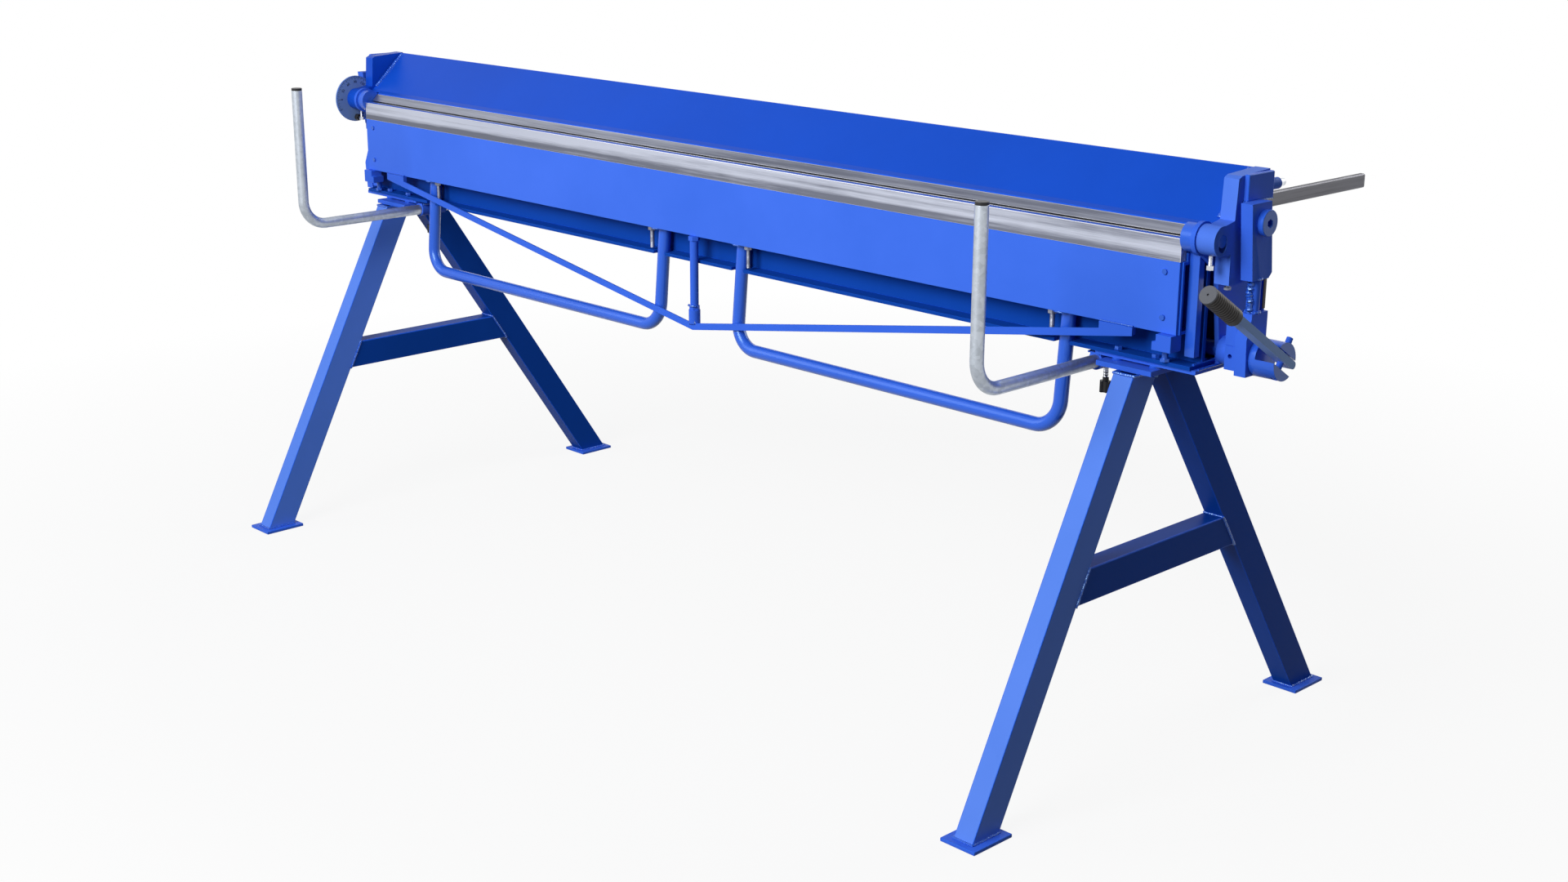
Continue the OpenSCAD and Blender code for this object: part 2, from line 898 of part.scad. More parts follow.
module link_bolts() {
    socket = bolt_radius * 0.8;
    color(painted_blue)
        shifted()
            both_ends()
                difference() {
                    union() {
                        rod_x(cheek_out, link_in, [boss_y, boss_z], spacer_radius);
                        rod_x(link_in, link_out, [boss_y, boss_z], bolt_radius);
                        rod_x(link_out, link_out + boss_thickness, [boss_y, boss_z], boss_radius);
                    }
                    translate([link_out + over, boss_y, boss_z])
                        rotate([0, 90, 0])
                            cylinder(h = boss_thickness, r = socket, $fn = 6);
                }
}

module gap_screws() {
    low = hinge_z - nose_radius - gap_screw_length;
    at = [hub_in + 2 * screw_head_radius, hinge_y];
    color(steel)
        shifted()
            both_ends() {
                rod_z(low, hinge_z - nose_radius, at, screw_radius);
                rod_z(low - screw_head, low, at, screw_head_radius, 6);
            }
}

module tail_screws() {
    low = tail_bottom - tail_screw_length;
    at = [cheek_middle, cheek_front + 2 * screw_head_radius];
    color(steel)
        shifted()
            both_ends() {
                rod_z(low, tail_bottom, at, screw_radius);
                rod_z(low - tail_screw_head, low, at, screw_head_radius, 6);
            }
}

module in_lever_frame() {
    translate([0, shaft_y, shaft_z])
        rotate([-lever_tilt, 0, 0])
            children();
}

module in_raised_frame() {
    in_lever_frame()
        translate([0, 0, lever_raise])
            children();
}

module clamp_shaft() {
    off_y = shaft_y - throw * cos(45);
    off_z = shaft_z - eccentric_drop;
    slot = slot_width / 2;
    color(painted_blue)
        shifted()
            difference() {
                union() {
                    rod_x(-collar_out, head_in, [shaft_y, shaft_z], shaft_radius);
                    rod_x(lug_in, lug_out, [off_y, off_z], eccentric_radius);
                    rod_x(-lug_out, -lug_in, [off_y, off_z], eccentric_radius);
                    rod_x(-collar_out, -lug_out - gap, [shaft_y, shaft_z], eccentric_radius);
                    rod_x(head_in, head_out, [shaft_y, shaft_z], lever_head_radius);
                }
                in_lever_frame() {
                    block([head_out - slot_depth, -2 * lever_head_radius, -slot],
                        [head_out + over, 2 * lever_head_radius, slot]);
                    rod_z(-2 * lever_head_radius, 2 * lever_head_radius, [lever_x(), 0], peg_radius + seat);
                }
            }
}

function lever_x() = head_out + lever_proud - lever_width / 2;

module lever_bar() {
    bar_end = lever_length - grip_length;
    side = lever_width / 2;
    tail_middle = lever_tail - lever_thickness / 2;
    color(zinc)
        shifted()
            in_raised_frame()
                difference() {
                    union() {
                        block([lever_x() - side, -bar_end, -lever_thickness / 2],
                            [lever_x() + side, tail_middle, lever_thickness / 2]);
                        rod_x(lever_x() - side, lever_x() + side, [tail_middle, 0], lever_thickness / 2);
                        rod_y(-lever_length, -bar_end, [lever_x(), 0], lever_thickness / 2);
                    }
                    rod_z(-lever_thickness, lever_thickness, [lever_x(), 0], peg_radius + seat);
                }
}

module lever_grip() {
    bar_end = lever_length - grip_length;
    radius = grip_diameter / 2;
    color(black)
        shifted()
            in_raised_frame()
                translate([lever_x(), -bar_end, 0])
                    rotate([90, 0, 0])
                        rotate_extrude($fn = 48)
                            polygon(grip_outline(radius));
}

function grip_outline(radius) = concat(
    [[lever_thickness / 2 + seat, 0], [radius, 0]],
    [for (rib = [0:grip_rib_count - 1])
        for (step = [0:3])
            [radius - (step == 1 || step == 2 ? rib_depth : 0),
                grip_plain + (rib + step / 4) * rib_pitch]],
    [[radius, grip_length], [lever_thickness / 2 + seat, grip_length]]
);

module grip_cap() {
    cap_end = -lever_length - cap_thickness;
    color(grey_cap)
        shifted()
            in_raised_frame()
                difference() {
                    rod_y(cap_end, -lever_length, [lever_x(), 0], grip_diameter / 2);
                    rod_y(cap_end - over, -lever_length - over, [lever_x(), 0], cap_hole);
                }
}

module lever_pin() {
    color(painted_blue)
        shifted()
            in_lever_frame()
                rod_z(-lever_head_radius + over, lever_head_radius + peg_rise, [lever_x(), 0], peg_radius);
}

module face_plate() {
    color(painted_blue)
        shifted()
            block([-half, 0, face_bottom], [half, face_thickness, bending_blade_bottom]);
}

module bending_blade() {
    color(steel)
        shifted()
            block([-half, 0, bending_blade_bottom], [half, bending_blade_thickness, table_height]);
}

// Hollow section behind the face plate, stepped round the bending blade
module bending_box() {
    top = hinge_z - ring_radius - 2.5 * unit;
    wall = bending_box_wall;
    outside = [
        [face_thickness, face_bottom],
        [box_back, face_bottom],
        [box_back, top],
        [bending_blade_thickness, top],
        [bending_blade_thickness, bending_blade_bottom],
        [face_thickness, bending_blade_bottom]
    ];
    inside = [
        [face_thickness + wall, face_bottom + wall],
        [box_back - wall, face_bottom + wall],
        [box_back - wall, top - wall],
        [bending_blade_thickness + wall, top - wall],
        [bending_blade_thickness + wall, bending_blade_bottom - wall],
        [face_thickness + wall, bending_blade_bottom - wall]
    ];
    color(painted_blue)
        shifted()
            difference() {
                slab(-bar_in, bar_in, outside);
                slab(-bar_in - over, bar_in + over, inside);
            }
}

module end_arm() {
    arm_front = box_back - end_arm_depth - 3 * unit;
    arm_low = face_bottom - 34 * unit;
    difference() {
        union() {
            rod_x(ring_in, ring_out, [hinge_y, hinge_z], ring_radius);
            block([bar_in, arm_front, arm_low], [ring_out, arm_front + end_arm_depth, hinge_z]);
        }
        rod_x(ring_in - over, ring_out + over, [hinge_y, hinge_z], hinge_pin_radius + seat);
    }
}

module right_end_arm() {
    color(painted_blue)
        shifted()
            end_arm();
}

module left_end_arm() {
    color(painted_blue)
        shifted()
            left_side()
                end_arm();
}

module hinge_pins() {
    color(painted_blue)
        shifted() {
            rod_x(ring_in, cheek_out - over, [hinge_y, hinge_z], hinge_pin_radius);
            rod_x(-dial_out, -ring_in, [hinge_y, hinge_z], hinge_pin_radius);
            rod_x(-dial_out - pin_cap_thickness, -dial_out, [hinge_y, hinge_z], pin_cap_radius);
        }
}

// Bent tube: grip run, two bends and two legs, leaning back towards the box
module bent_tube(radius, reach) {
    middle = (handle_inner + handle_outer) / 2;
    half_run = (handle_outer - handle_inner) / 2;
    straight = half_run - handle_bend;
    translate([middle, 0, 0]) {
        rotate([0, 90, 0])
            cylinder(h = 2 * straight, r = radius, center = true, $fn = 48);
        for (side = [0, 1])
            mirror([side, 0, 0]) {
                translate([straight, 0, handle_bend])
                    rotate([90, 0, 0])
                        rotate([0, 0, -90])
                            rotate_extrude(angle = 90, $fn = 48)
                                translate([handle_bend, 0])
                                    circle(r = radius);
                translate([half_run, 0, handle_bend])
                    cylinder(h = reach - handle_bend, r = radius, $fn = 48);
            }
    }
}

module handle() {
    reach = handle_drop + handle_diameter;
    difference() {
        translate([0, handle_y, face_bottom - handle_drop])
            rotate([-lean, 0, 0])
                difference() {
                    bent_tube(handle_diameter / 2, reach);
                    bent_tube(handle_diameter / 2 - handle_wall, reach + over);
                }
        block([0, -handle_drop, face_bottom], [half, handle_drop, table_height]);
    }
}

module right_handle() {
    color(painted_blue)
        shifted()
            handle();
}

module left_handle() {
    color(painted_blue)
        shifted()
            left_side()
                handle();
}

function truss_z(x) = face_bottom - truss_drop + x * (truss_drop - truss_height / 2 - over) / truss_end;

module truss_bar() {
    half_high = truss_height / 2;
    gusset_in = truss_end - gusset_width;
    outline = [
        [0, truss_z(0) - half_high],
        [0, truss_z(0) + half_high],
        [gusset_in, truss_z(gusset_in) + half_high],
        [gusset_in, face_bottom],
        [truss_end, face_bottom],
        [truss_end, truss_z(truss_end) - half_high]
    ];
    rotate([90, 0, 0])
        linear_extrude(height = truss_thickness)
            polygon(outline);
    block([gusset_in, -truss_thickness, face_bottom - truss_height],
        [truss_end, face_thickness, face_bottom]);
}

module truss_bars() {
    color(painted_blue)
        shifted()
            both_ends()
                truss_bar();
}

module truss_post() {
    low = truss_z(0) + truss_height / 2;
    fork_top = low + fork_height;
    color(zinc)
        shifted()
            difference() {
                union() {
                    rod_z(low, fork_top, [0, post_y], fork_radius);
                    rod_z(fork_top, face_bottom, [0, post_y], post_radius);
                    rod_z(face_bottom - nut_height, face_bottom, [0, post_y], nut_radius + 2 * unit, 6);
                    rod_z(fork_top, fork_top + nut_height, [0, post_y], nut_radius + over, 6);
                }
                both_ends()
                    truss_bar();
            }
}

module corner_blocks() {
    low = face_bottom - block_height;
    outline = [
        [half - block_width, low],
        [half, low],
        [half, face_bottom],
        [half - block_width + block_step, face_bottom],
        [half - block_width + block_step, low + block_tongue],
        [half - block_width, low + block_tongue]
    ];
    color(painted_blue)
        shifted()
            both_ends()
                translate([0, bending_blade_thickness, 0])
                    rotate([90, 0, 0])
                        linear_extrude(height = bending_blade_thickness + block_forward)
                            polygon(outline);
}

module face_screws() {
    high = bending_blade_bottom - face_screw_high;
    low = face_bottom + face_screw_low;
    color(painted_blue)
        shifted()
            both_ends()
                for (height = [low, high])
                    rod_y(-face_screw_height, 0, [half - face_screw_inset, height], face_screw_radius);
}

module adjusting_screws() {
    color(steel)
        shifted()
            both_ends()
                for (x_place = [handle_inner + adjuster_offset, handle_outer - adjuster_offset]) {
                    rod_z(flange_top + 4 * unit, face_bottom, [x_place, bending_blade_thickness],
                        adjuster_radius);
                    rod_z(face_bottom - nut_height, face_bottom, [x_place, bending_blade_thickness],
                        nut_radius - over, 6);
                }
}

module rest_bolts() {
    low = flange_top + gap;
    top = face_bottom - block_height;
    color(steel)
        shifted()
            both_ends() {
                rod_z(low + rest_head, top, [half - rest_inset, rest_y], rest_radius);
                rod_z(low, low + rest_head, [half - rest_inset, rest_y], rest_head_radius, 6);
            }
}

module angle_dial() {
    color(painted_blue)
        shifted()
            difference() {
                rod_x(-dial_out, -dial_in, [hinge_y, hinge_z], dial_radius);
                rod_x(-dial_out - over, -dial_in + over, [hinge_y, hinge_z], hinge_pin_radius + seat);
                rod_x(-dial_out - over, -dial_in + over, [hinge_y, hinge_z - dial_knob_offset],
                    dial_screw_radius + run);
            }
}

module dial_knob() {
    at = [hinge_y, hinge_z - dial_knob_offset];
    color(black)
        shifted() {
            rod_x(-dial_out - over, -dial_in + gap, at, dial_screw_radius);
            rod_x(-dial_in + gap, -dial_in + gap + dial_knob_length, at, dial_knob_radius);
            rod_x(-dial_out - 4 * over, -dial_out - over, at, dial_screw_radius + 2 * unit);
        }
}

// Pipe from the sleeve forwards, round one bend and up
module arm_pipe(radius, extra) {
    turn_y = -arm_reach + arm_bend;
    rod_y(turn_y, arm_tail + extra, [arm_place, sleeve_z], radius);
    translate([arm_place, turn_y, sleeve_z + arm_bend])
        rotate([0, -90, 0])
            rotate([0, 0, 180])
                rotate_extrude(angle = 90, $fn = 48)
                    translate([arm_bend, 0])
                        circle(r = radius);
    rod_z(sleeve_z + arm_bend, arm_top + extra, [arm_place, -arm_reach], radius);
}

module arm() {
    difference() {
        arm_pipe(arm_radius, 0);
        arm_pipe(arm_radius - arm_wall, over);
    }
}

module right_arm() {
    color(zinc)
        shifted()
            arm();
}

module left_arm() {
    color(zinc)
        shifted()
            left_side()
                arm();
}

module arm_plug() {
    rod_z(arm_top, arm_top + plug_lip, [arm_place, -arm_reach], arm_radius);
    rod_z(arm_top - plug_depth, arm_top, [arm_place, -arm_reach], arm_radius - arm_wall - seat);
}

module right_arm_plug() {
    color(black)
        shifted()
            arm_plug();
}

module left_arm_plug() {
    color(black)
        shifted()
            left_side()
                arm_plug();
}

module arm_knob() {
    tip = sleeve_z - arm_radius - sleeve_clearance;
    stem_low = sleeve_z - sleeve_radius - knob_stem;
    head_top = stem_low - knob_neck;
    at = [arm_place, knob_y];
    rod_z(stem_low - seat, tip, at, knob_screw_radius);
    difference() {
        union() {
            rod_z(head_top - seat, stem_low, at, knob_radius / 2);
            rod_z(head_top - knob_height, head_top, at, knob_radius);
        }
        translate([arm_place, knob_y, head_top - knob_height - over])
            for (flute = [0:flute_count - 1])
                rotate([0, 0, flute * 360 / flute_count])
                    translate([flute_place, 0, 0])
                        cylinder(h = knob_height + 2 * over, r = flute_radius);
    }
}

module right_arm_knob() {
    color(black)
        shifted()
            arm_knob();
}

module left_arm_knob() {
    color(black)
        shifted()
            left_side()
                arm_knob();
}

module rear_bar(pulled) {
    block([rear_place - rear_bar_width / 2, rear_bar_tucked + pulled, rear_bar_bottom],
        [rear_place + rear_bar_width / 2, rear_bar_tucked + pulled + rear_bar_length,
            rear_bar_bottom + rear_bar_height]);
}

module right_rear_bar() {
    color(zinc)
        shifted()
            rear_bar(rear_bar_travel);
}

module left_rear_bar() {
    color(zinc)
        shifted()
            left_side()
                rear_bar(0);
}

module shifted() {
    translate(shift)
        children();
}

front_legs();
rear_legs();
leg_feet();
leg_braces();
leg_heads();
head_spacers();
base_plates();
hold_down_bolts();
corner_bolts();
beam_flange();
beam_web();
beam_top_plate();
beam_rear_plate();
beam_ribs();
lower_blade();
left_end_plate();
right_end_plate();
shaft_bearings();
arm_sleeves();
rear_sleeves();
upper_beam();
upper_blade();
left_cheek();
right_cheek();
end_blocks();
stub_screws();
left_link();
right_link();
link_bolts();
gap_screws();
tail_screws();
clamp_shaft();
lever_bar();
lever_grip();
grip_cap();
lever_pin();
face_plate();
bending_blade();
bending_box();
left_end_arm();
right_end_arm();
hinge_pins();
left_handle();
right_handle();
truss_bars();
truss_post();
corner_blocks();
face_screws();
adjusting_screws();
rest_bolts();
angle_dial();
dial_knob();
left_arm();
right_arm();
left_arm_plug();
right_arm_plug();
left_arm_knob();
right_arm_knob();
left_rear_bar();
right_rear_bar();
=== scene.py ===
import json
import math
import random

import bmesh
import bpy
from mathutils import Matrix, Vector


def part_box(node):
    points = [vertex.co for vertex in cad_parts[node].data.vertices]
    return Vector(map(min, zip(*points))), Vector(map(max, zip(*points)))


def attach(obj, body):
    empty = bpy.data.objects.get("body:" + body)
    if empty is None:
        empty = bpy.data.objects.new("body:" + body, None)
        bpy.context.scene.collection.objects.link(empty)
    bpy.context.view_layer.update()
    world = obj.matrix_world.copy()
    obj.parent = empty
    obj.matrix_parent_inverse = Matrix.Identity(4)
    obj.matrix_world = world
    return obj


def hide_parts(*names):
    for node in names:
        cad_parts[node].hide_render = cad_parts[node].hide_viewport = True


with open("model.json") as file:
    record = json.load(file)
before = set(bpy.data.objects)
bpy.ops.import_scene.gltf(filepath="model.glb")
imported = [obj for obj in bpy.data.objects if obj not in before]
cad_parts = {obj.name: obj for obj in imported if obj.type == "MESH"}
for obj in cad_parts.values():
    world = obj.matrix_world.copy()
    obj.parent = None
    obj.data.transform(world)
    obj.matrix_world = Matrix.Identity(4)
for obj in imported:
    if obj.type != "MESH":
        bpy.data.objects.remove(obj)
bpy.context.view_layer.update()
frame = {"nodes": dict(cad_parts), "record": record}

# Camera.
# It stands in front of the right end, a little above the clamping beam, as the photographer did.
# Its place was worked out from the straight edges of the machine.
MM = 0.001
face_low, face_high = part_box("face_plate")
DATUM = Vector(((face_low[0] + face_high[0]) / 2, face_low[1], 0))


def spot(x, y, z):
    """A point given in millimetres from mid machine, the face plate's front and the floor."""
    return DATUM + Vector((x, y, z)) * MM


camera_yaw = math.radians(45.660)
camera_pitch = math.radians(16.489)
camera_roll = math.radians(0.3317)
ahead = Vector((
    -math.sin(camera_yaw) * math.cos(camera_pitch),
    math.cos(camera_yaw) * math.cos(camera_pitch),
    -math.sin(camera_pitch),
))
level_right = Vector((math.cos(camera_yaw), math.sin(camera_yaw), 0))
level_up = level_right.cross(ahead)
tilted_right = level_right * math.cos(camera_roll) + level_up * math.sin(camera_roll)
tilted_up = tilted_right.cross(ahead)
camera_data = bpy.data.cameras.new("camera")
camera_data.sensor_width = 36
camera_data.lens = 46.72
camera = bpy.data.objects.new("camera", camera_data)
bpy.context.scene.collection.objects.link(camera)
camera_place = Matrix.Translation(spot(2787.95, -2485.70, 1450.69))
camera.matrix_world = camera_place @ Matrix((tilted_right, tilted_up, -ahead)).transposed().to_4x4()
bpy.context.scene.camera = camera

# Studio.
# A white floor and backdrop with soft light from the front left, so that the faces towards the
# operator are bright and the right-hand ends stay dark.
scene = bpy.context.scene
scene.view_settings.view_transform = "Standard"


def new_nodes(tree):
    """Empties a node tree and gives the two calls that fill it: add a node, link two sockets."""
    tree.nodes.clear()

    def add(kind, **inputs):
        node = tree.nodes.new(kind)
        for key, value in inputs.items():
            node.inputs[key.replace("_", " ")].default_value = value
        return node

    return add, tree.links.new


def seen_rays(add, link):
    """1 on every ray that the camera, a mirror or glass follows."""
    path = add("ShaderNodeLightPath")
    chosen = path.outputs["Is Camera Ray"]
    for label in ("Is Glossy Ray", "Is Transmission Ray"):
        either = add("ShaderNodeMath")
        either.operation = "MAXIMUM"
        link(chosen, either.inputs[0])
        link(path.outputs[label], either.inputs[1])
        chosen = either.outputs[0]
    return path, chosen


def map_range(add, link, value, *limits):
    """Stretches a value from one pair of limits to another."""
    node = add("ShaderNodeMapRange")
    for label, limit in zip(("From Min", "From Max", "To Min", "To Max"), limits):
        node.inputs[label].default_value = limit
    link(value, node.inputs["Value"])
    return node.outputs[0]


world = bpy.data.worlds.new("white_room")
world.use_nodes = True
scene.world = world
add, link = new_nodes(world.node_tree)
path, seen = seen_rays(add, link)
ambient = add("ShaderNodeBackground", Color=(0.72, 0.84, 1.0, 1), Strength=0.07)
backdrop = add("ShaderNodeBackground", Color=(1, 1, 1, 1), Strength=1.0)
choose = add("ShaderNodeMixShader")
link(seen, choose.inputs["Fac"])
link(ambient.outputs[0], choose.inputs[1])
link(backdrop.outputs[0], choose.inputs[2])
out = add("ShaderNodeOutputWorld")
link(choose.outputs[0], out.inputs["Surface"])

floor_mesh = bpy.data.meshes.new("floor")
build = bmesh.new()
bmesh.ops.create_grid(build, x_segments=1, y_segments=1, size=14)
build.to_mesh(floor_mesh)
build.free()
floor = bpy.data.objects.new("floor", floor_mesh)
scene.collection.objects.link(floor)
floor_finish = bpy.data.materials.new("floor_white")
floor_finish.use_nodes = True
add, link = new_nodes(floor_finish.node_tree)
path, seen = seen_rays(add, link)
matt = add("ShaderNodeBsdfDiffuse")
grey = map_range(add, link, seen, 0.0, 1.0, 0.12, 0.6)
link(grey, matt.inputs["Color"])
white = add("ShaderNodeEmission", Color=(1, 1, 1, 1), Strength=1.0)
place = add("ShaderNodeTexCoord")
distance = add("ShaderNodeVectorMath")
distance.operation = "LENGTH"
link(place.outputs["Object"], distance.inputs[0])
shadow_share = map_range(add, link, distance.outputs["Value"], 1.2, 2.8, 0.9, 1.0)
share = add("ShaderNodeMath")
share.operation = "MULTIPLY"
link(shadow_share, share.inputs[1])
link(seen, share.inputs[0])
mix = add("ShaderNodeMixShader")
link(share.outputs[0], mix.inputs["Fac"])
link(matt.outputs[0], mix.inputs[1])
link(white.outputs[0], mix.inputs[2])
out = add("ShaderNodeOutputMaterial")
link(mix.outputs[0], out.inputs["Surface"])
floor_mesh.materials.append(floor_finish)


def lamp(name, place, target, size, power):
    """A round soft lamp, measured in metres and watts, that faces its target."""
    data = bpy.data.lights.new(name, "AREA")
    data.shape = "DISK"
    data.size = size
    data.energy = power
    shining = bpy.data.objects.new(name, data)
    scene.collection.objects.link(shining)
    shining.location = place
    shining.rotation_euler = (target - place).to_track_quat("-Z", "Y").to_euler()


middle = spot(0, 50, 750)
lamp("key_light", spot(450, -4300, 2900), spot(450, 0, 700), 3.0, 250)
lamp("left_light", spot(-2500, -2900, 2400), spot(-300, 0, 800), 2.8, 38)
lamp("right_fill", spot(4600, -300, 1900), middle, 2.4, 4.5)
lamp("back_light", spot(1500, 3900, 2600), middle, 3.0, 75)

# Trestles.
# Each is an A of square steel tube with a tube brace across, mitred and welded to a flat head above
# and two feet below, then sprayed. The blue shows a faint orange peel and slow waves of the steel.
def effect_group(name, inputs, outputs):
    """Starts a node group that several finishes share."""
    tree = bpy.data.node_groups.new(name, "ShaderNodeTree")
    for label, value in inputs.items():
        socket = tree.interface.new_socket(label, in_out="INPUT", socket_type="NodeSocketFloat")
        socket.default_value = value
    for label in outputs:
        tree.interface.new_socket(label, in_out="OUTPUT", socket_type="NodeSocketFloat")
    add, link = new_nodes(tree)
    return tree, add, link, add("NodeGroupInput"), add("NodeGroupOutput")


def arithmetic(add, link, operation, first, second):
    node = add("ShaderNodeMath")
    node.operation = operation
    for slot, value in enumerate((first, second)):
        if isinstance(value, (int, float)):
            node.inputs[slot].default_value = value
        else:
            link(value, node.inputs[slot])
    return node.outputs[0]


# Slow waves and fine peel, both read from the piece's own coordinates
skin_group, add, link, given, result = effect_group(
    "sprayed_skin", {"Peel": 1.0, "Wave": 1.0}, ["Height", "Cloud"])
coordinates = add("ShaderNodeTexCoord")
peel = add("ShaderNodeTexNoise", Scale=420.0, Detail=2.0, Roughness=0.5)
wave = add("ShaderNodeTexNoise", Scale=14.0, Detail=2.0, Roughness=0.5)
cloud = add("ShaderNodeTexNoise", Scale=3.2, Detail=4.0, Roughness=0.6)
for noise in (peel, wave, cloud):
    link(coordinates.outputs["Object"], noise.inputs["Vector"])
peel_part = arithmetic(add, link, "MULTIPLY", peel.outputs[0], given.outputs["Peel"])
wave_part = arithmetic(add, link, "MULTIPLY", wave.outputs[0], given.outputs["Wave"])
link(arithmetic(add, link, "ADD", peel_part, wave_part), result.inputs["Height"])
link(cloud.outputs[0], result.inputs["Cloud"])


def place_group(add, tree, **inputs):
    node = add("ShaderNodeGroup")
    node.node_tree = tree
    for key, value in inputs.items():
        node.inputs[key].default_value = value
    return node


def blend_colours(add, link, mask, dark, light):
    """The dark colour where the mask is 0 and the light one where it is 1."""
    mix = add("ShaderNodeMix")
    mix.data_type = "RGBA"
    link(mask, mix.inputs[0])
    mix.inputs[6].default_value = (*dark, 1)
    mix.inputs[7].default_value = (*light, 1)
    return mix.outputs[2]


def span(add, link, value, low, high):
    return map_range(add, link, value, 0.0, 1.0, low, high)


def start_material(name):
    """A bare material with one shader, ready for its finish."""
    material = bpy.data.materials.new(name)
    material.use_nodes = True
    add, link = new_nodes(material.node_tree)
    shader = add("ShaderNodeBsdfPrincipled")
    out = add("ShaderNodeOutputMaterial")
    link(shader.outputs[0], out.inputs["Surface"])
    return material, add, link, shader


def lay_skin(name, dark, light, roughness, peel, wave, gloss, relief):
    """A clouded colour on an uneven skin: roughness and relief are pairs, gloss is its mirroring."""
    material, add, link, shader = start_material(name)
    skin = place_group(add, skin_group, Peel=peel, Wave=wave)
    cloud = skin.outputs["Cloud"]
    link(blend_colours(add, link, cloud, dark, light), shader.inputs["Base Color"])
    link(span(add, link, cloud, *roughness), shader.inputs["Roughness"])
    shader.inputs["Specular IOR Level"].default_value = gloss
    strength, height = relief
    bump = add("ShaderNodeBump", Strength=strength, Distance=height)
    link(skin.outputs["Height"], bump.inputs["Height"])
    link(bump.outputs[0], shader.inputs["Normal"])
    return material, shader


def enamel(name, dark, light, roughness, peel, wave, gloss=0.11, sheen=(0.30, 0.65, 1.0)):
    """Sprayed paint, which mirrors in the sheen's colour."""
    spread = (roughness - 0.05, roughness + 0.06)
    material, shader = lay_skin(name, dark, light, spread, peel, wave, gloss, (0.35, 0.0004))
    shader.inputs["Specular Tint"].default_value = (*sheen, 1)
    return material


# A mid blue: a painted shade on the bending box under the face plate, and a painted sheen on the broken edges
# of the darker parts
sheet_enamel = enamel("sheet_enamel", (0.008, 0.082, 0.58), (0.015, 0.105, 0.72), 0.34, 0.25, 0.8)
plate_enamel = enamel("plate_enamel", (0.030, 0.116, 0.64), (0.050, 0.152, 0.82), 0.38, 0.5, 1.5)
# Goes on the broken edges as a painted sheen along them
edge_sheen_enamel = enamel("edge_sheen_enamel", (0.016, 0.100, 0.62), (0.045, 0.165, 0.84), 0.34, 0.6, 1.0)
pale_sheen = (0.5, 0.78, 1.0)
weld_enamel = enamel("weld_enamel", (0.006, 0.066, 0.44), (0.026, 0.120, 0.70), 0.16, 1.2, 2.0, 0.8,
                     pale_sheen)
# A darker blue that paints the shade on the rear legs, the leg braces and the lower beam's parts
painted_shade_enamel = enamel("painted_shade_enamel", (0.003, 0.046, 0.30), (0.006, 0.062, 0.40), 0.42, 0.4, 1.2, 0.05)
# A paler blue that paints the light falling on the face plate
painted_light_face_enamel = enamel("painted_light_face_enamel", (0.034, 0.128, 0.69), (0.066, 0.182, 0.87), 0.32, 0.3, 0.9)
# A paler blue that paints the light falling on the front legs
painted_light_leg_enamel = enamel("painted_light_leg_enamel", (0.070, 0.185, 0.68), (0.115, 0.245, 0.84), 0.32, 0.3, 0.9)

record = frame["record"]
body_of_node = {node: body for body, nodes in record["behaviour"]["bodies"].items() for node in nodes}
slot_of_node = {part["node"]: part["material_slot"] for part in record["subparts"]}


def finish_piece(piece, materials, body, slot):
    """Gives a piece its materials and the body that it moves with."""
    for material in materials:
        piece.data.materials.append(material)
    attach(piece, body)


def soften(node, radius, material, edge_material=None, angle=32):
    """Shows a solid by a copy whose sharp edges are broken by a radius in millimetres."""
    solid = frame["nodes"][node]
    build = bmesh.new()
    build.from_mesh(solid.data)
    build.transform(solid.matrix_world)
    bmesh.ops.remove_doubles(build, verts=build.verts, dist=1e-6)
    bmesh.ops.dissolve_limit(build, angle_limit=math.radians(0.6), verts=build.verts, edges=build.edges)
    mesh = bpy.data.meshes.new(node + "_finished")
    build.to_mesh(mesh)
    build.free()
    mesh.shade_smooth()
    mesh.set_sharp_from_angle(angle=math.radians(angle))
    piece = bpy.data.objects.new(node + "_finished", mesh)
    scene.collection.objects.link(piece)
    edge = piece.modifiers.new("broken_edges", "BEVEL")
    edge.width = radius * MM
    edge.segments = 2
    edge.limit_method = "ANGLE"
    edge.angle_limit = math.radians(angle)
    edge.harden_normals = True
    materials = [material]
    if edge_material:
        materials.append(edge_material)
        edge.material = 1
    finish_piece(piece, materials, body_of_node[node], slot_of_node[node])
    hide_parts(node)
    return piece


def new_piece(name, build, material, body, slot, smooth=40):
    """Turns a finished bmesh into a piece; edges sharper than smooth degrees stay crisp."""
    bmesh.ops.recalc_face_normals(build, faces=build.faces)
    mesh = bpy.data.meshes.new(name)
    build.to_mesh(mesh)
    build.free()
    mesh.shade_smooth()
    mesh.set_sharp_from_angle(angle=math.radians(smooth))
    piece = bpy.data.objects.new(name, mesh)
    scene.collection.objects.link(piece)
    finish_piece(piece, [material], body, slot)
    return piece


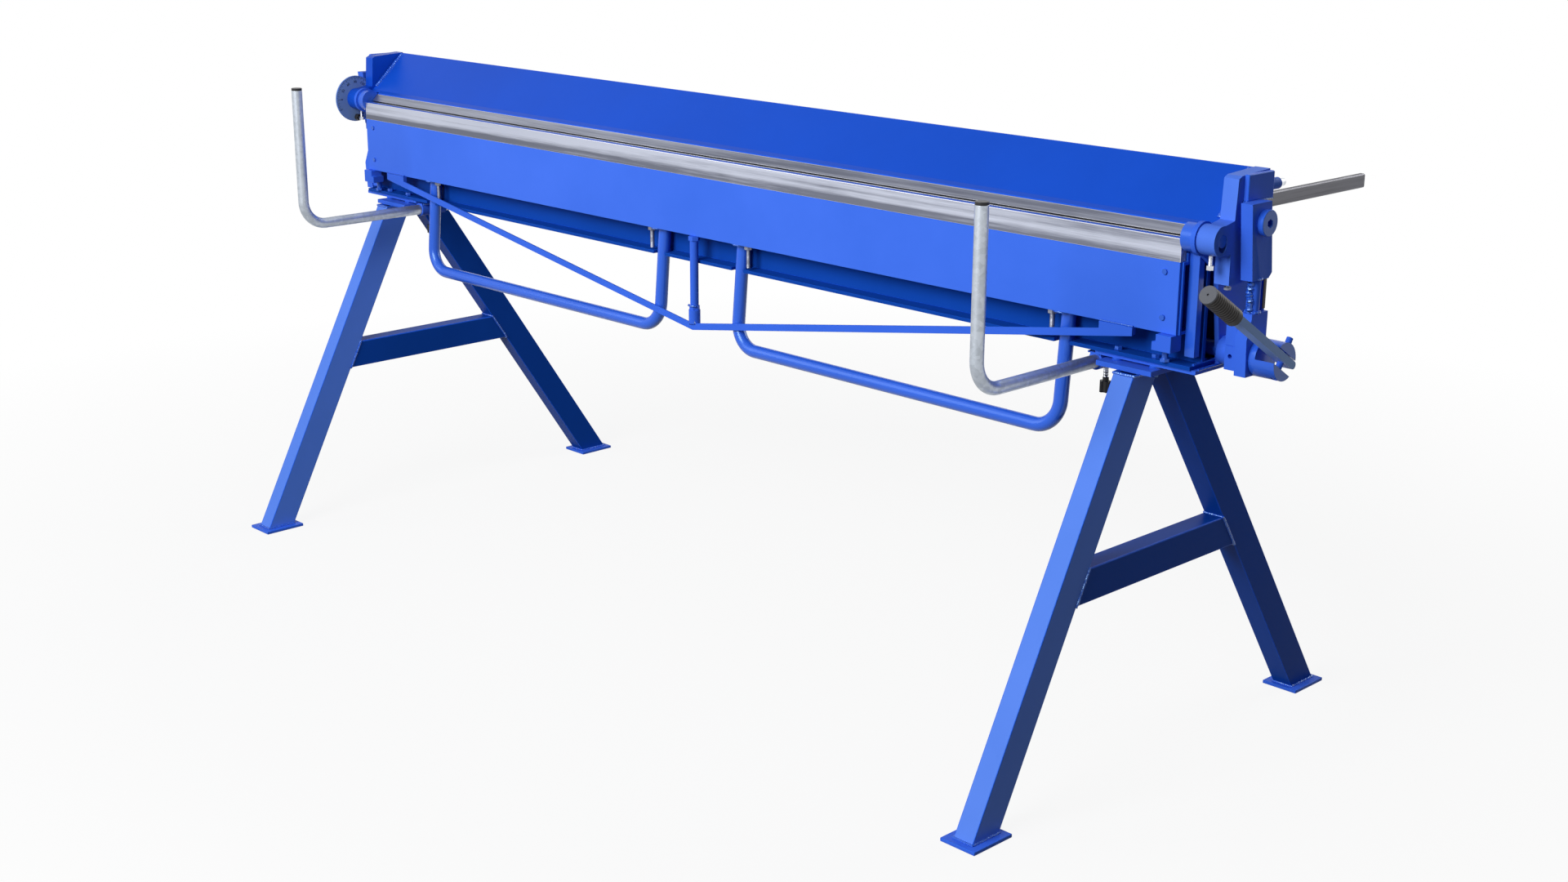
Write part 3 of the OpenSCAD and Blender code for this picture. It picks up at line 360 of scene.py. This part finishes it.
def swept_rod(build, points, step, sides, radius_at):
    """Adds a round closed rod along points in millimetres; radius_at gives its radius at a ring."""
    stops = []
    for start, end in zip(points, points[1:]):
        start, end = Vector(start), Vector(end)
        count = max(1, round((end - start).length / step))
        stops += [start.lerp(end, share / count) for share in range(count)]
    stops.append(Vector(points[-1]))
    rod = bmesh.new()
    last = None
    for turn, stop in enumerate(stops):
        along = stops[min(turn + 1, len(stops) - 1)] - stops[max(turn - 1, 0)]
        radius = radius_at(turn)
        facing = along.to_track_quat("Z", "Y").to_matrix().to_4x4()
        ring = Matrix.Translation(spot(*stop)) @ facing @ Matrix.Scale(radius * MM, 4)
        if last is None:
            bmesh.ops.create_circle(rod, cap_ends=True, segments=sides, radius=1, matrix=ring)
            edges = list(rod.edges)
        else:
            grown = bmesh.ops.extrude_edge_only(rod, edges=edges)["geom"]
            edges = [part for part in grown if isinstance(part, bmesh.types.BMEdge)]
            corners = [part for part in grown if isinstance(part, bmesh.types.BMVert)]
            bmesh.ops.transform(rod, matrix=ring @ last.inverted(), verts=corners)
        last = ring
    bmesh.ops.contextual_create(rod, geom=edges)
    bmesh.ops.recalc_face_normals(rod, faces=rod.faces)
    scrap = bpy.data.meshes.new("scrap")
    rod.to_mesh(scrap)
    rod.free()
    build.from_mesh(scrap)
    bpy.data.meshes.remove(scrap)


def extent(node):
    """A solid's lowest and highest corner, in millimetres from the datum."""
    return [(Vector(corner) - DATUM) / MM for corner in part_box(node)]


def weld_bead(build, points, radius, seed):
    """A rippled fillet of weld metal along points."""
    hand = random.Random(seed)

    def rippled(turn):
        return radius * ((1.0, 1.15, 0.85)[turn % 3] + hand.uniform(-0.12, 0.12))

    swept_rod(build, points, 1.5, 8, rippled)


def loop_round(low, high):
    """Corner points once round a rectangle given by two opposite corners at one height."""
    (x1, y1, z), (x2, y2, _) = low, high
    middle_y = (y1 + y2) / 2
    return [(x1, middle_y, z), (x1, y1, z), (x2, y1, z), (x2, y2, z), (x1, y2, z), (x1, middle_y, z)]


# The front legs take the paler blue as painted light
soften("front_legs", 2.6, painted_light_leg_enamel, edge_sheen_enamel)
# The rear legs and braces take the darker blue as painted shade
soften("rear_legs", 2.6, painted_shade_enamel, sheet_enamel)
soften("leg_braces", 2.4, painted_shade_enamel, sheet_enamel)
soften("leg_heads", 0.9, plate_enamel, edge_sheen_enamel)
soften("leg_feet", 0.9, plate_enamel, edge_sheen_enamel)

# A leaning tube covers more of its head and foot than its own width
front_low, front_high = extent("front_legs")
rear_low, rear_high = extent("rear_legs")
brace_low, brace_high = extent("leg_braces")
tube_width = 38
front_cover, rear_cover = 62, 68
outside, inside = front_high.x, front_high.x - tube_width
leg_rise = front_high.z - front_low.z
front_lean = (front_high.y - front_cover - front_low.y) / leg_rise
rear_lean = (rear_high.y - rear_cover - rear_low.y) / leg_rise
brace_depth = brace_high.z - brace_low.z
head_bead, foot_bead = 2.4, 2.2
head_weld, foot_weld = front_high.z - 1, front_low.z + 0.8

# Each leg's two joints: where it starts, how much it covers, the weld's height, bead and seed
leg_joints = (
    (front_high.y - front_cover, front_cover, head_weld, head_bead, 19),
    (rear_low.y, rear_cover, head_weld, head_bead, 57),
    (front_low.y, front_cover, foot_weld, foot_bead, 361),
    (rear_high.y - rear_cover, rear_cover, foot_weld, foot_bead, 508),
)
trestle_welds = bmesh.new()
for side in (-1, 1):
    for start, cover, height, bead, seed in leg_joints:
        loop = loop_round((side * outside, start, height), (side * inside, start + cover, height))
        weld_bead(trestle_welds, loop, bead, seed)
    for low_y, lean in ((brace_low.y, front_lean), (brace_high.y, -rear_lean)):
        high_y = low_y + lean * brace_depth
        weld_bead(trestle_welds, [
            (side * inside, low_y, brace_low.z), (side * outside, low_y, brace_low.z),
            (side * outside, high_y, brace_high.z), (side * inside, high_y, brace_high.z),
            (side * inside, low_y, brace_low.z)], foot_bead, 328)
new_piece("trestle_welds", trestle_welds, weld_enamel, "frame", "painted_blue")

# Base plates.
# Steel plates bolted through to the trestle heads carry the machine; the bolts, spacers and
# levelling corner bolts were sprayed along with everything else.
soften("base_plates", 0.9, plate_enamel, edge_sheen_enamel)
for node in ("head_spacers", "hold_down_bolts", "corner_bolts"):
    soften(node, 0.6, weld_enamel, edge_sheen_enamel)

# Lower beam.
# A folded channel of plate with ribs, closed by an end plate that carries the hinge at each end.
# The lower beam's parts sit back under the bending beam and take the darker blue as painted shade
for node in ("beam_flange", "beam_web", "beam_rear_plate", "beam_top_plate", "beam_ribs"):
    soften(node, 0.8, painted_shade_enamel, sheet_enamel)
for node in ("left_end_plate", "right_end_plate"):
    soften(node, 1.0, plate_enamel, edge_sheen_enamel)
end_low, end_high = extent("right_end_plate")
flange_low, flange_high = extent("beam_flange")
web_low, web_high = extent("beam_web")
back_low, back_high = extent("beam_rear_plate")
# Fillets inside and outside the end plates and along each rib, stopping short of the corners
beam_welds = bmesh.new()
for side in (-1, 1):
    within, beyond = side * (end_low.x - 0.9), side * (end_high.x + 0.9)
    start, stop = flange_low.y + 10, flange_high.y - 2
    on_flange = flange_high.z + 1
    weld_bead(beam_welds, [(within, start, on_flange), (within, back_low.y - 2, on_flange)], 2.0, 5)
    behind = back_high.y + 1
    weld_bead(beam_welds, [(within, behind, back_low.z + 4), (within, behind, back_high.z - 2)], 2.0, 6)
    weld_bead(beam_welds, [(beyond, start, flange_low.z + 1), (beyond, stop, flange_low.z + 1)], 1.8, 7)
rib_pitch, rib_half, rib_bead = 360, 3, 1.5
for count in range(-2, 3):
    rib = rib_pitch * count
    for corner in (rib - rib_half - 0.6, rib + rib_half + 0.6):
        foot = flange_high.z + 1
        weld_bead(beam_welds, [(corner, web_high.y + 3, foot), (corner, back_low.y - 3, foot)], rib_bead, rib)
        front = web_high.y + 0.6
        weld_bead(beam_welds, [(corner, front, foot + 1), (corner, front, web_high.z - 2)], rib_bead, rib + 1)
new_piece("beam_welds", beam_welds, weld_enamel, "frame", "painted_blue")

# Blades.
# Three bars of ground steel left bare: one on each beam and one on the bending beam. Grinding
# leaves lengthwise bands, and use leaves scuffs.
grind_group, add, link, given, result = effect_group(
    "ground_lines", {"Fineness": 700.0, "Side": 0.02, "Depth": 1.0}, ["Lines", "Bands", "Patches"])
coordinates = add("ShaderNodeTexCoord")


def lengthwise_noise(pull, scale, detail):
    """Noise drawn out along the bar; pull is how much further than the grinding lines."""
    squeeze = add("ShaderNodeCombineXYZ", Z=1.0)
    for axis, label in (("X", "Side"), ("Y", "Depth")):
        link(arithmetic(add, link, "POWER", given.outputs[label], pull), squeeze.inputs[axis])
    stretched = add("ShaderNodeVectorMath")
    stretched.operation = "MULTIPLY"
    link(coordinates.outputs["Object"], stretched.inputs[0])
    link(squeeze.outputs[0], stretched.inputs[1])
    noise = add("ShaderNodeTexNoise", Scale=scale, Detail=detail, Roughness=0.6)
    link(stretched.outputs[0], noise.inputs["Vector"])
    return noise


lines = lengthwise_noise(1.0, 700.0, 3.0)
link(given.outputs["Fineness"], lines.inputs["Scale"])
link(lines.outputs[0], result.inputs["Lines"])
link(lengthwise_noise(1.1, 75.0, 2.0).outputs[0], result.inputs["Bands"])
link(lengthwise_noise(0.35, 16.0, 5.0).outputs[0], result.inputs["Patches"])


def ground_steel(name, dark, light, roughness, fineness, relief, side=0.02, depth=1.0, metal=1.0,
                 tint=(1.0, 1.0, 1.0), foot_shade_heights=None):
    """Bare steel; the last argument gives two heights, in metres, over which a painted shade on the lower
    edge fades out.
    """
    material, add, link, shader = start_material(name)
    grind = place_group(add, grind_group, Fineness=fineness, Side=side, Depth=depth)
    fine = arithmetic(add, link, "MULTIPLY", grind.outputs["Lines"], 0.22)
    broad = arithmetic(add, link, "MULTIPLY", grind.outputs["Bands"], 0.58)
    scuff = arithmetic(add, link, "MULTIPLY", grind.outputs["Patches"], 0.20)
    both = arithmetic(add, link, "ADD", arithmetic(add, link, "ADD", fine, broad), scuff)
    if foot_shade_heights:
        height = add("ShaderNodeSeparateXYZ")
        link(add("ShaderNodeTexCoord").outputs["Object"], height.inputs[0])
        foot_shade = map_range(add, link, height.outputs["Z"], *foot_shade_heights, -0.16, 0.02)
        both = arithmetic(add, link, "ADD", both, foot_shade)
    mask = map_range(add, link, both, 0.38, 0.60, 0.0, 1.0)
    link(blend_colours(add, link, mask, dark, light), shader.inputs["Base Color"])
    link(span(add, link, mask, roughness + 0.08, roughness - 0.06), shader.inputs["Roughness"])
    shader.inputs["Metallic"].default_value = metal
    shader.inputs["Specular IOR Level"].default_value = 0.1
    shader.inputs["Specular Tint"].default_value = (*tint, 1)
    bump = add("ShaderNodeBump", Strength=relief, Distance=0.0003)
    link(grind.outputs["Lines"], bump.inputs["Height"])
    link(bump.outputs[0], shader.inputs["Normal"])
    return material


blade_low, blade_high = extent("bending_blade")
blade_half = (blade_low.z + blade_high.z) / 2
# The front blade is painted darker towards its lower edge as shade
front_blade_steel = ground_steel("front_blade_steel", (0.14, 0.15, 0.19), (0.52, 0.55, 0.65), 0.42,
                                 700.0, 0.25, foot_shade_heights=(blade_low.z * MM, blade_half * MM))
top_blade_steel = ground_steel("top_blade_steel", (0.12, 0.13, 0.17), (0.33, 0.35, 0.42), 0.44, 700.0, 0.25)
# A paler steel on the blades' broken edges as a painted highlight
blade_edge_highlight = ground_steel("blade_edge_highlight", (0.55, 0.56, 0.60), (0.82, 0.83, 0.86), 0.25, 900.0, 0.1)
screw_steel = ground_steel("bright_zinc", (0.50, 0.52, 0.56), (0.78, 0.80, 0.84), 0.26, 500.0, 0.1)

soften("bending_blade", 0.7, front_blade_steel, blade_edge_highlight)
soften("upper_blade", 0.6, top_blade_steel, blade_edge_highlight)
soften("lower_blade", 0.5, top_blade_steel, blade_edge_highlight)

# A thin blue strip on the front blade's top paints the reflection of the blue beam above it
blue_strip_depth, blue_strip_film, blue_strip_margin = 11.6, 0.6, 1


def break_edges(build, radius):
    """Bevels every edge by a radius in millimetres."""
    bmesh.ops.bevel(build, geom=build.edges[:], offset=radius * MM, affect="EDGES", segments=2,
                    profile=0.5, material=-1)


def add_block(build, centre, size):
    """Adds a plain block; all measures are in millimetres."""
    stretch = Matrix.Diagonal((*(length * MM for length in size), 1))
    bmesh.ops.create_cube(build, size=1, matrix=Matrix.Translation(spot(*centre)) @ stretch)


top_reflection = bmesh.new()
add_block(top_reflection, (0, blade_low.y + blue_strip_margin + blue_strip_depth / 2, blade_high.z - 0.1),
          (blade_high.x - blade_low.x - 2 * blue_strip_margin, blue_strip_depth, blue_strip_film))
break_edges(top_reflection, 0.2)
new_piece("blade_top_reflection", top_reflection, edge_sheen_enamel, "bending_beam", "painted_blue")

# Bending beam.
# A folded box with a flat face plate screwed on, hung on round end arms that turn on the hinge
# pins. Small blocks and bolts under it stop it against the frame.
# The face plate takes the paler blue as painted light
soften("face_plate", 0.9, painted_light_face_enamel, edge_sheen_enamel)
# The bending box sits back under the face plate and takes the mid blue as painted shade
soften("bending_box", 0.9, sheet_enamel, edge_sheen_enamel)
soften("corner_blocks", 1.1, plate_enamel, edge_sheen_enamel)
tube_enamel = enamel("tube_enamel", (0.014, 0.090, 0.58), (0.032, 0.130, 0.76), 0.22, 0.2, 0.5, 0.6,
                     pale_sheen)
for node in ("left_end_arm", "right_end_arm"):
    soften(node, 1.1, tube_enamel, edge_sheen_enamel)
for node in ("face_screws", "rest_bolts", "hinge_pins"):
    soften(node, 0.4, weld_enamel, edge_sheen_enamel)
soften("adjusting_screws", 0.4, top_blade_steel)


def loose_screws(node):
    """The corners of each screw of a node, in millimetres from the datum."""
    solid = frame["nodes"][node]
    source = bmesh.new()
    source.from_mesh(solid.data)
    source.transform(solid.matrix_world)
    bmesh.ops.remove_doubles(source, verts=source.verts, dist=1e-6)
    reached, screws = set(), []
    for start in source.verts:
        if start in reached:
            continue
        reached.add(start)
        screw = [start]
        for corner in screw:
            for edge in corner.link_edges:
                other = edge.other_vert(corner)
                if other not in reached:
                    reached.add(other)
                    screw.append(other)
        screws.append([(corner.co - DATUM) / MM for corner in screw])
    source.free()
    return screws


def threads(node, axis, material):
    """Cuts a screw thread on the thin end of each screw of a node."""
    across = [way for way in range(3) if way != axis]
    build = bmesh.new()
    for places in loose_screws(node):
        centre = [(min(p[way] for p in places) + max(p[way] for p in places)) / 2 for way in range(3)]
        levels = sorted({round(p[axis], 1) for p in places})

        def widest(level):
            ring = [p for p in places if abs(p[axis] - level) < 0.06]
            return max(math.dist([p[way] for way in across], [centre[way] for way in across]) for p in ring)

        if widest(levels[0]) < widest(levels[-1]):
            levels.reverse()
        tip, shoulder = list(centre), list(centre)
        shoulder[axis], tip[axis] = levels[-2:]
        radius = widest(tip[axis])
        swept_rod(build, [tip, shoulder], 0.75, 14, lambda turn: radius + (0.3 if turn % 2 else -0.1))
    return new_piece(node + "_threads", build, material, body_of_node[node], slot_of_node[node], 25)


threads("adjusting_screws", 2, top_blade_steel)
threads("rest_bolts", 2, weld_enamel)

# Pull handles and truss.
# Bent tubes welded under the bending beam to pull it up by, and flat bars that run over a middle
# post to keep it from bowing.
for node in ("left_handle", "right_handle"):
    soften(node, 0.5, tube_enamel)
soften("truss_bars", 1.0, plate_enamel, edge_sheen_enamel)
soften("truss_post", 0.6, plate_enamel, edge_sheen_enamel)
handle_welds = bmesh.new()


def weld_ring(build, centre, radius, bead, seed):
    """A bead once round an upright tube or rod."""
    x, y, z = centre
    turns = [math.radians(15 * step) for step in range(25)]
    weld_bead(build, [(x + radius * math.cos(a), y + radius * math.sin(a), z) for a in turns], bead, seed)


handle_low, handle_high = extent("right_handle")
handle_radius = 16
handle_y = handle_high.y - 20
for leg_x, seed in ((handle_high.x - handle_radius, 856), (handle_low.x + handle_radius, 113)):
    for side in (-1, 1):
        place = (side * leg_x, handle_y, handle_high.z - 0.8)
        weld_ring(handle_welds, place, handle_radius + 0.4, 2.0, seed)

# Blobs at the post's foot in front and behind, and a thinner bead round its front further up
post_low, post_high = extent("truss_post")
bars_low, bars_high = extent("truss_bars")
for blob, bead, seed in (
        ([(-9, -4.4, 2.7), (-4, -5, 0.2), (3, -5, 1.2), (9, -4.4, 3.7)], 2.6, 3),
        ([(-9, 4, 2.7), (9, 4, 2.7)], 2.6, 4),
        ([(-9.5, -3, 33.7), (-6, -7.6, 34.7), (0, -9, 34.2), (6, -7.6, 34.7), (9.5, -3, 33.7)], 1.8, 8)):
    weld_bead(handle_welds, [(x, y, post_low.z + z) for x, y, z in blob], bead, seed)
truss_end_weld = 63
for side in (-1, 1):
    weld_bead(handle_welds, [(side * (bars_high.x - truss_end_weld), -1.5, bars_high.z + 1.2),
                             (side * bars_high.x, -1.5, bars_high.z + 1.2)], 1.3, 9)
new_piece("handle_welds", handle_welds, weld_enamel, "bending_beam", "painted_blue")

# Clamping beam.
# A folded beam welded between two thick cheeks; it lifts off the sheet and carries the upper
# blade. Screws through the cheeks set the gap at each end.
# A darker blue that paints the shade on the clamping beam's slope and on the left cheek's inner face
painted_shade_slope_enamel = enamel("painted_shade_slope_enamel", (0.004, 0.058, 0.46), (0.008, 0.080, 0.60), 0.34, 0.25, 0.8)
soften("upper_beam", 1.2, painted_shade_slope_enamel, sheet_enamel)
# The right cheek takes a paler blue, painted light on its front, in a drier coat; the left takes the slope's
# darker blue as painted shade
painted_light_cheek_enamel = enamel("painted_light_cheek_enamel", (0.055, 0.160, 0.68), (0.095, 0.215, 0.84), 0.42, 0.5, 1.5, 0.05)
soften("left_cheek", 1.6, painted_shade_slope_enamel, edge_sheen_enamel)
soften("right_cheek", 1.6, painted_light_cheek_enamel, edge_sheen_enamel)
soften("end_blocks", 2.2, plate_enamel, edge_sheen_enamel)
for node, axis, steel in (("gap_screws", 2, screw_steel), ("tail_screws", 2, top_blade_steel),
                          ("stub_screws", 1, screw_steel)):
    soften(node, 0.4, steel)
    threads(node, axis, steel)
beam_low, beam_high = extent("upper_beam")
cheek_low, cheek_high = extent("right_cheek")
block_low, block_high = extent("end_blocks")
slope_foot = (beam_low.y + 16.8, beam_low.z + 21.3)
slope_top = (beam_high.y - 6.2, beam_high.z - 3)
cheek_welds = bmesh.new()
for side in (-1, 1):
    inner = side * (cheek_low.x - 0.2)
    weld_bead(cheek_welds, [(inner, *slope_foot), (inner, *slope_top)], 4.0, 11)
    beam_end, behind = side * (beam_high.x - 1.1), beam_high.y + 0.6
    weld_bead(cheek_welds, [(beam_end, behind, beam_low.z + 4), (beam_end, behind, beam_high.z - 2)], 2.4, 12)
    outer, block_end, under = side * (cheek_high.x + 0.9), side * (block_high.x - 1.1), block_low.z - 0.6
    weld_bead(cheek_welds, [(outer, block_low.y, under), (block_end, block_low.y, under),
                            (block_end, block_high.y - 1.2, under)], 1.6, 13)
new_piece("cheek_welds", cheek_welds, weld_enamel, "clamp_beam", "painted_blue")

# Links, bearings and eccentric shaft.
# The shaft lies across the machine under the beam; its off-centre ends pull the links and with
# them the cheeks down. Each link is a leaning plate, a round neck with a weld, and a split foot.
for node in ("left_link", "right_link", "shaft_bearings"):
    soften(node, 1.2, plate_enamel, edge_sheen_enamel)
for node in ("clamp_shaft", "link_bolts"):
    soften(node, 1.2, tube_enamel, edge_sheen_enamel)
link_low, link_high = extent("right_link")
neck_x, neck_y = link_low.x + 10.5, link_low.y + 34
neck_foot, neck_top, neck_radius = link_low.z + 96.6, link_high.z - 115, 10
nut_y, nut_z, nut_radius, nut_height = link_high.y - 2.97, neck_foot - 20, 6.5, 5
neck_welds = bmesh.new()
foot_nuts = bmesh.new()
for side in (-1, 1):
    # The hand wanders a little from side to side while it welds down the neck
    hand = random.Random(20 + side)
    wander = [side * (neck_x + 0.4) + hand.uniform(-2.0, 2.0) for step in range(18)]
    run = [(x, neck_y - neck_radius - 0.4, neck_foot + 3 * step) for step, x in enumerate(wander)]
    weld_bead(neck_welds, run, 5.0, 21)
    weld_ring(neck_welds, (side * neck_x, neck_y, neck_foot + 0.8), neck_radius + 0.4, 2.2, 22)
    weld_ring(neck_welds, (side * neck_x, neck_y, neck_top), neck_radius + 0.2, 1.8, 23)
    place = Matrix.Translation(spot(side * neck_x, nut_y, nut_z)) @ Matrix.Rotation(math.pi / 2, 4, "X")
    bmesh.ops.create_cone(foot_nuts, cap_ends=True, segments=6, radius1=nut_radius * MM,
                          radius2=nut_radius * MM, depth=nut_height * MM, matrix=place)
break_edges(foot_nuts, 0.5)
new_piece("neck_welds", neck_welds, weld_enamel, "clamp_beam", "painted_blue")
new_piece("foot_nuts", foot_nuts, plate_enamel, "clamp_beam", "painted_blue")


def moulded(name, dark, light, roughness, grain, gloss=0.25):
    """Dull rubber, plastic or scaled steel with a fine grain."""
    spread = (roughness - 0.06, roughness + 0.06)
    material, shader = lay_skin(name, dark, light, spread, grain, 0.3, gloss, (0.5, 0.0003))
    return material


# A strip of dark bare spring steel lies over the strap behind each neck
spring_steel = moulded("spring_steel", (0.022, 0.018, 0.020), (0.060, 0.045, 0.048), 0.5, 0.8)
strip_size = (9.6, 7.6, 46)
strip_z = (neck_foot + neck_top) / 2 + 0.5
strips = bmesh.new()
for side in (-1, 1):
    add_block(strips, (side * neck_x, neck_y + 22, strip_z), strip_size)
break_edges(strips, 0.6)
new_piece("strap_strips", strips, spring_steel, "clamp_beam", "grip_rubber")

# Hand lever.
# A square bar painted slate blue sits in the fork of the shaft head; its ribbed rubber grip ends
# in a grey moulded cap.
lever_paint = enamel("lever_enamel", (0.240, 0.400, 0.78), (0.320, 0.480, 0.88), 0.42, 0.5, 1.0, 0.3)
lever_edge = enamel("lever_edge", (0.26, 0.40, 0.72), (0.38, 0.52, 0.84), 0.38, 0.5, 1.0, 0.4)
grip_rubber = moulded("grip_rubber", (0.004, 0.0035, 0.004), (0.012, 0.010, 0.010), 0.42, 1.2, 0.2)
# A paler brown on the grip's rib edges as a painted highlight
rib_highlight_rubber = moulded("rib_highlight_rubber", (0.030, 0.024, 0.022), (0.066, 0.052, 0.044), 0.40, 1.2, 0.3)
cap_plastic = moulded("cap_plastic", (0.070, 0.076, 0.092), (0.115, 0.122, 0.142), 0.5, 0.6)
soften("lever_bar", 2.0, lever_paint, lever_edge)
soften("lever_pin", 0.8, plate_enamel, edge_sheen_enamel)
soften("lever_grip", 0.2, grip_rubber, rib_highlight_rubber, 20)
soften("grip_cap", 0.8, cap_plastic)

# Angle dial.
# A thin painted disc on the left hinge pin turns with the bending beam. Its rim is divided every
# five degrees and numbered every thirty, and a black knob sets the stop.
dial_paint = enamel("dial_enamel", (0.150, 0.250, 0.50), (0.220, 0.340, 0.62), 0.36, 0.3, 0.6)
mark_paint = moulded("mark_paint", (0.008, 0.012, 0.030), (0.018, 0.024, 0.050), 0.5, 0.3)
knob_plastic = moulded("knob_plastic", (0.012, 0.012, 0.013), (0.03, 0.03, 0.032), 0.36, 0.5)
soften("angle_dial", 0.5, dial_paint, edge_sheen_enamel)
soften("dial_knob", 0.8, knob_plastic)
dial_low, dial_high = extent("angle_dial")
dial_radius = (dial_high.y - dial_low.y) / 2
dial_y, dial_z = dial_low.y + dial_radius, dial_low.z + dial_radius
mark_outer = dial_radius - 1.5
numeral_reach, numeral_size = dial_radius - 13.5, 8


def around_dial(face_x, facing, reach, turn):
    """A point on one face of the dial, turned from its top."""
    return spot(face_x, dial_y + facing * reach * math.sin(turn), dial_z + reach * math.cos(turn))


dial_marks = bmesh.new()
for facing, face_x in ((1, dial_high.x), (-1, dial_low.x)):
    for step in range(-24, 25):
        turn = math.radians(5 * step)
        length = 3
        if step % 6 == 0:
            length = 7
        elif step % 2 == 0:
            length = 5
        place = Matrix.Translation(around_dial(face_x, facing, mark_outer - length / 2, turn))
        upright = Matrix.Rotation(-facing * turn, 4, "X")
        size = Matrix.Diagonal((0.5 * MM, 0.7 * MM, length * MM, 1))
        bmesh.ops.create_cube(dial_marks, size=1, matrix=place @ upright @ size)
    for degrees in range(0, 181, 30):
        turn = math.radians(degrees - 90)
        outline = bpy.data.curves.new("numeral", "FONT")
        outline.body = str(degrees)
        outline.size = numeral_size * MM
        outline.align_x = "CENTER"
        outline.align_y = "CENTER"
        outline.extrude = 0.25 * MM
        numeral = bpy.data.objects.new("numeral", outline)
        scene.collection.objects.link(numeral)
        bpy.context.view_layer.update()
        flat = bpy.data.meshes.new_from_object(numeral.evaluated_get(bpy.context.evaluated_depsgraph_get()))
        bpy.data.objects.remove(numeral)
        standing = Matrix.Rotation(math.pi / 2 * facing, 4, "Z") @ Matrix.Rotation(math.pi / 2, 4, "X")
        place = around_dial(face_x, facing, numeral_reach, turn)
        flat.transform(Matrix.Translation(place) @ Matrix.Rotation(-facing * turn, 4, "X") @ standing)
        dial_marks.from_mesh(flat)
        bpy.data.meshes.remove(flat)
bmesh.ops.remove_doubles(dial_marks, verts=dial_marks.verts, dist=1e-7)
new_piece("dial_marks", dial_marks, mark_paint, "bending_beam", "black_plastic")

# Supporting arms.
# Bent galvanised pipes slide in sleeves under the base plates to hold long sheets; a fluted
# plastic knob on a zinc screw locks each one.
spangle_group, add, link, given, result = effect_group("spangle", {"Scale": 130.0}, ["Flakes", "Stain"])
coordinates = add("ShaderNodeTexCoord")
flakes = add("ShaderNodeTexVoronoi")
link(given.outputs["Scale"], flakes.inputs["Scale"])
link(coordinates.outputs["Object"], flakes.inputs["Vector"])
stain = add("ShaderNodeTexNoise", Scale=22.0, Detail=5.0, Roughness=0.65)
link(coordinates.outputs["Object"], stain.inputs["Vector"])
grey = add("ShaderNodeSeparateColor")
link(flakes.outputs["Color"], grey.inputs[0])
link(grey.outputs[0], result.inputs["Flakes"])
link(stain.outputs[0], result.inputs["Stain"])


def galvanised(name, dark, light, roughness):
    """Hot-dipped zinc with faint spangle and cloudy stains."""
    material, add, link, shader = start_material(name)
    coat = place_group(add, spangle_group, Scale=150.0)
    both = arithmetic(add, link, "ADD", arithmetic(add, link, "MULTIPLY", coat.outputs["Flakes"], 0.3),
                      arithmetic(add, link, "MULTIPLY", coat.outputs["Stain"], 0.7))
    mask = span(add, link, both, -0.5, 1.5)
    link(blend_colours(add, link, mask, dark, light), shader.inputs["Base Color"])
    link(span(add, link, mask, roughness + 0.08, roughness - 0.05), shader.inputs["Roughness"])
    shader.inputs["Metallic"].default_value = 0.85
    bump = add("ShaderNodeBump", Strength=0.15, Distance=0.0003)
    link(coat.outputs["Stain"], bump.inputs["Height"])
    link(bump.outputs[0], shader.inputs["Normal"])
    return material


pipe_low, pipe_high = extent("right_arm")
knob_low, knob_high = extent("right_arm_knob")
sleeve_low, sleeve_high = extent("arm_sleeves")
pipe_x, knob_y = (pipe_low.x + pipe_high.x) / 2, (knob_low.y + knob_high.y) / 2
sleeve_half = sleeve_high.x - pipe_x
stem_length, stem_core, stem_crest = 17, 4.0, 4.35
pipe_zinc = galvanised("pipe_zinc", (0.35, 0.385, 0.43), (0.52, 0.565, 0.63), 0.40)
soften("arm_sleeves", 0.8, plate_enamel, edge_sheen_enamel)
for name, stem_x in (("left_arm", -pipe_x), ("right_arm", pipe_x)):
    soften(name, 0.5, pipe_zinc)
    soften(name + "_plug", 0.8, knob_plastic)
    soften(name + "_knob", 0.8, knob_plastic)
    stem = bmesh.new()
    swept_rod(stem, [(stem_x, knob_y, sleeve_low.z - stem_length), (stem_x, knob_y, sleeve_low.z)], 0.75, 16,
              lambda turn: stem_crest if turn % 2 else stem_core)
    new_piece(name.replace("arm", "knob_stem"), stem, screw_steel, name + "_knob", "bright_steel", 25)
sleeve_welds = bmesh.new()
for side in (-1, 1):
    for edge in (pipe_x - sleeve_half - 0.4, pipe_x + sleeve_half + 0.4):
        weld_bead(sleeve_welds, [(side * edge, sleeve_low.y + 1, sleeve_high.z - 1),
                                 (side * edge, sleeve_high.y - 1, sleeve_high.z - 1)], 2.0, 31)
new_piece("sleeve_welds", sleeve_welds, weld_enamel, "frame", "painted_blue")

# Rear stop bars.
# Flat galvanised bars, worn dull, slide lengthwise in square sleeves that are welded behind the
# beam, and carry the sheet's far edge.
bar_steel = ground_steel("bar_steel", (0.100, 0.100, 0.112), (0.230, 0.230, 0.250), 0.50, 500.0, 0.3,
                         side=1.0, depth=0.02, metal=0.5, tint=(0.35, 0.35, 0.38))
# A paler steel on the bars' broken edges as a painted highlight
bar_edge_highlight = ground_steel("bar_edge_highlight", (0.16, 0.16, 0.18), (0.30, 0.30, 0.33), 0.50, 500.0, 0.2,
                        side=1.0, depth=0.02, metal=0.5)
soften("rear_sleeves", 1.0, plate_enamel, edge_sheen_enamel)
for node in ("left_rear_bar", "right_rear_bar"):
    soften(node, 2.8, bar_steel, bar_edge_highlight)
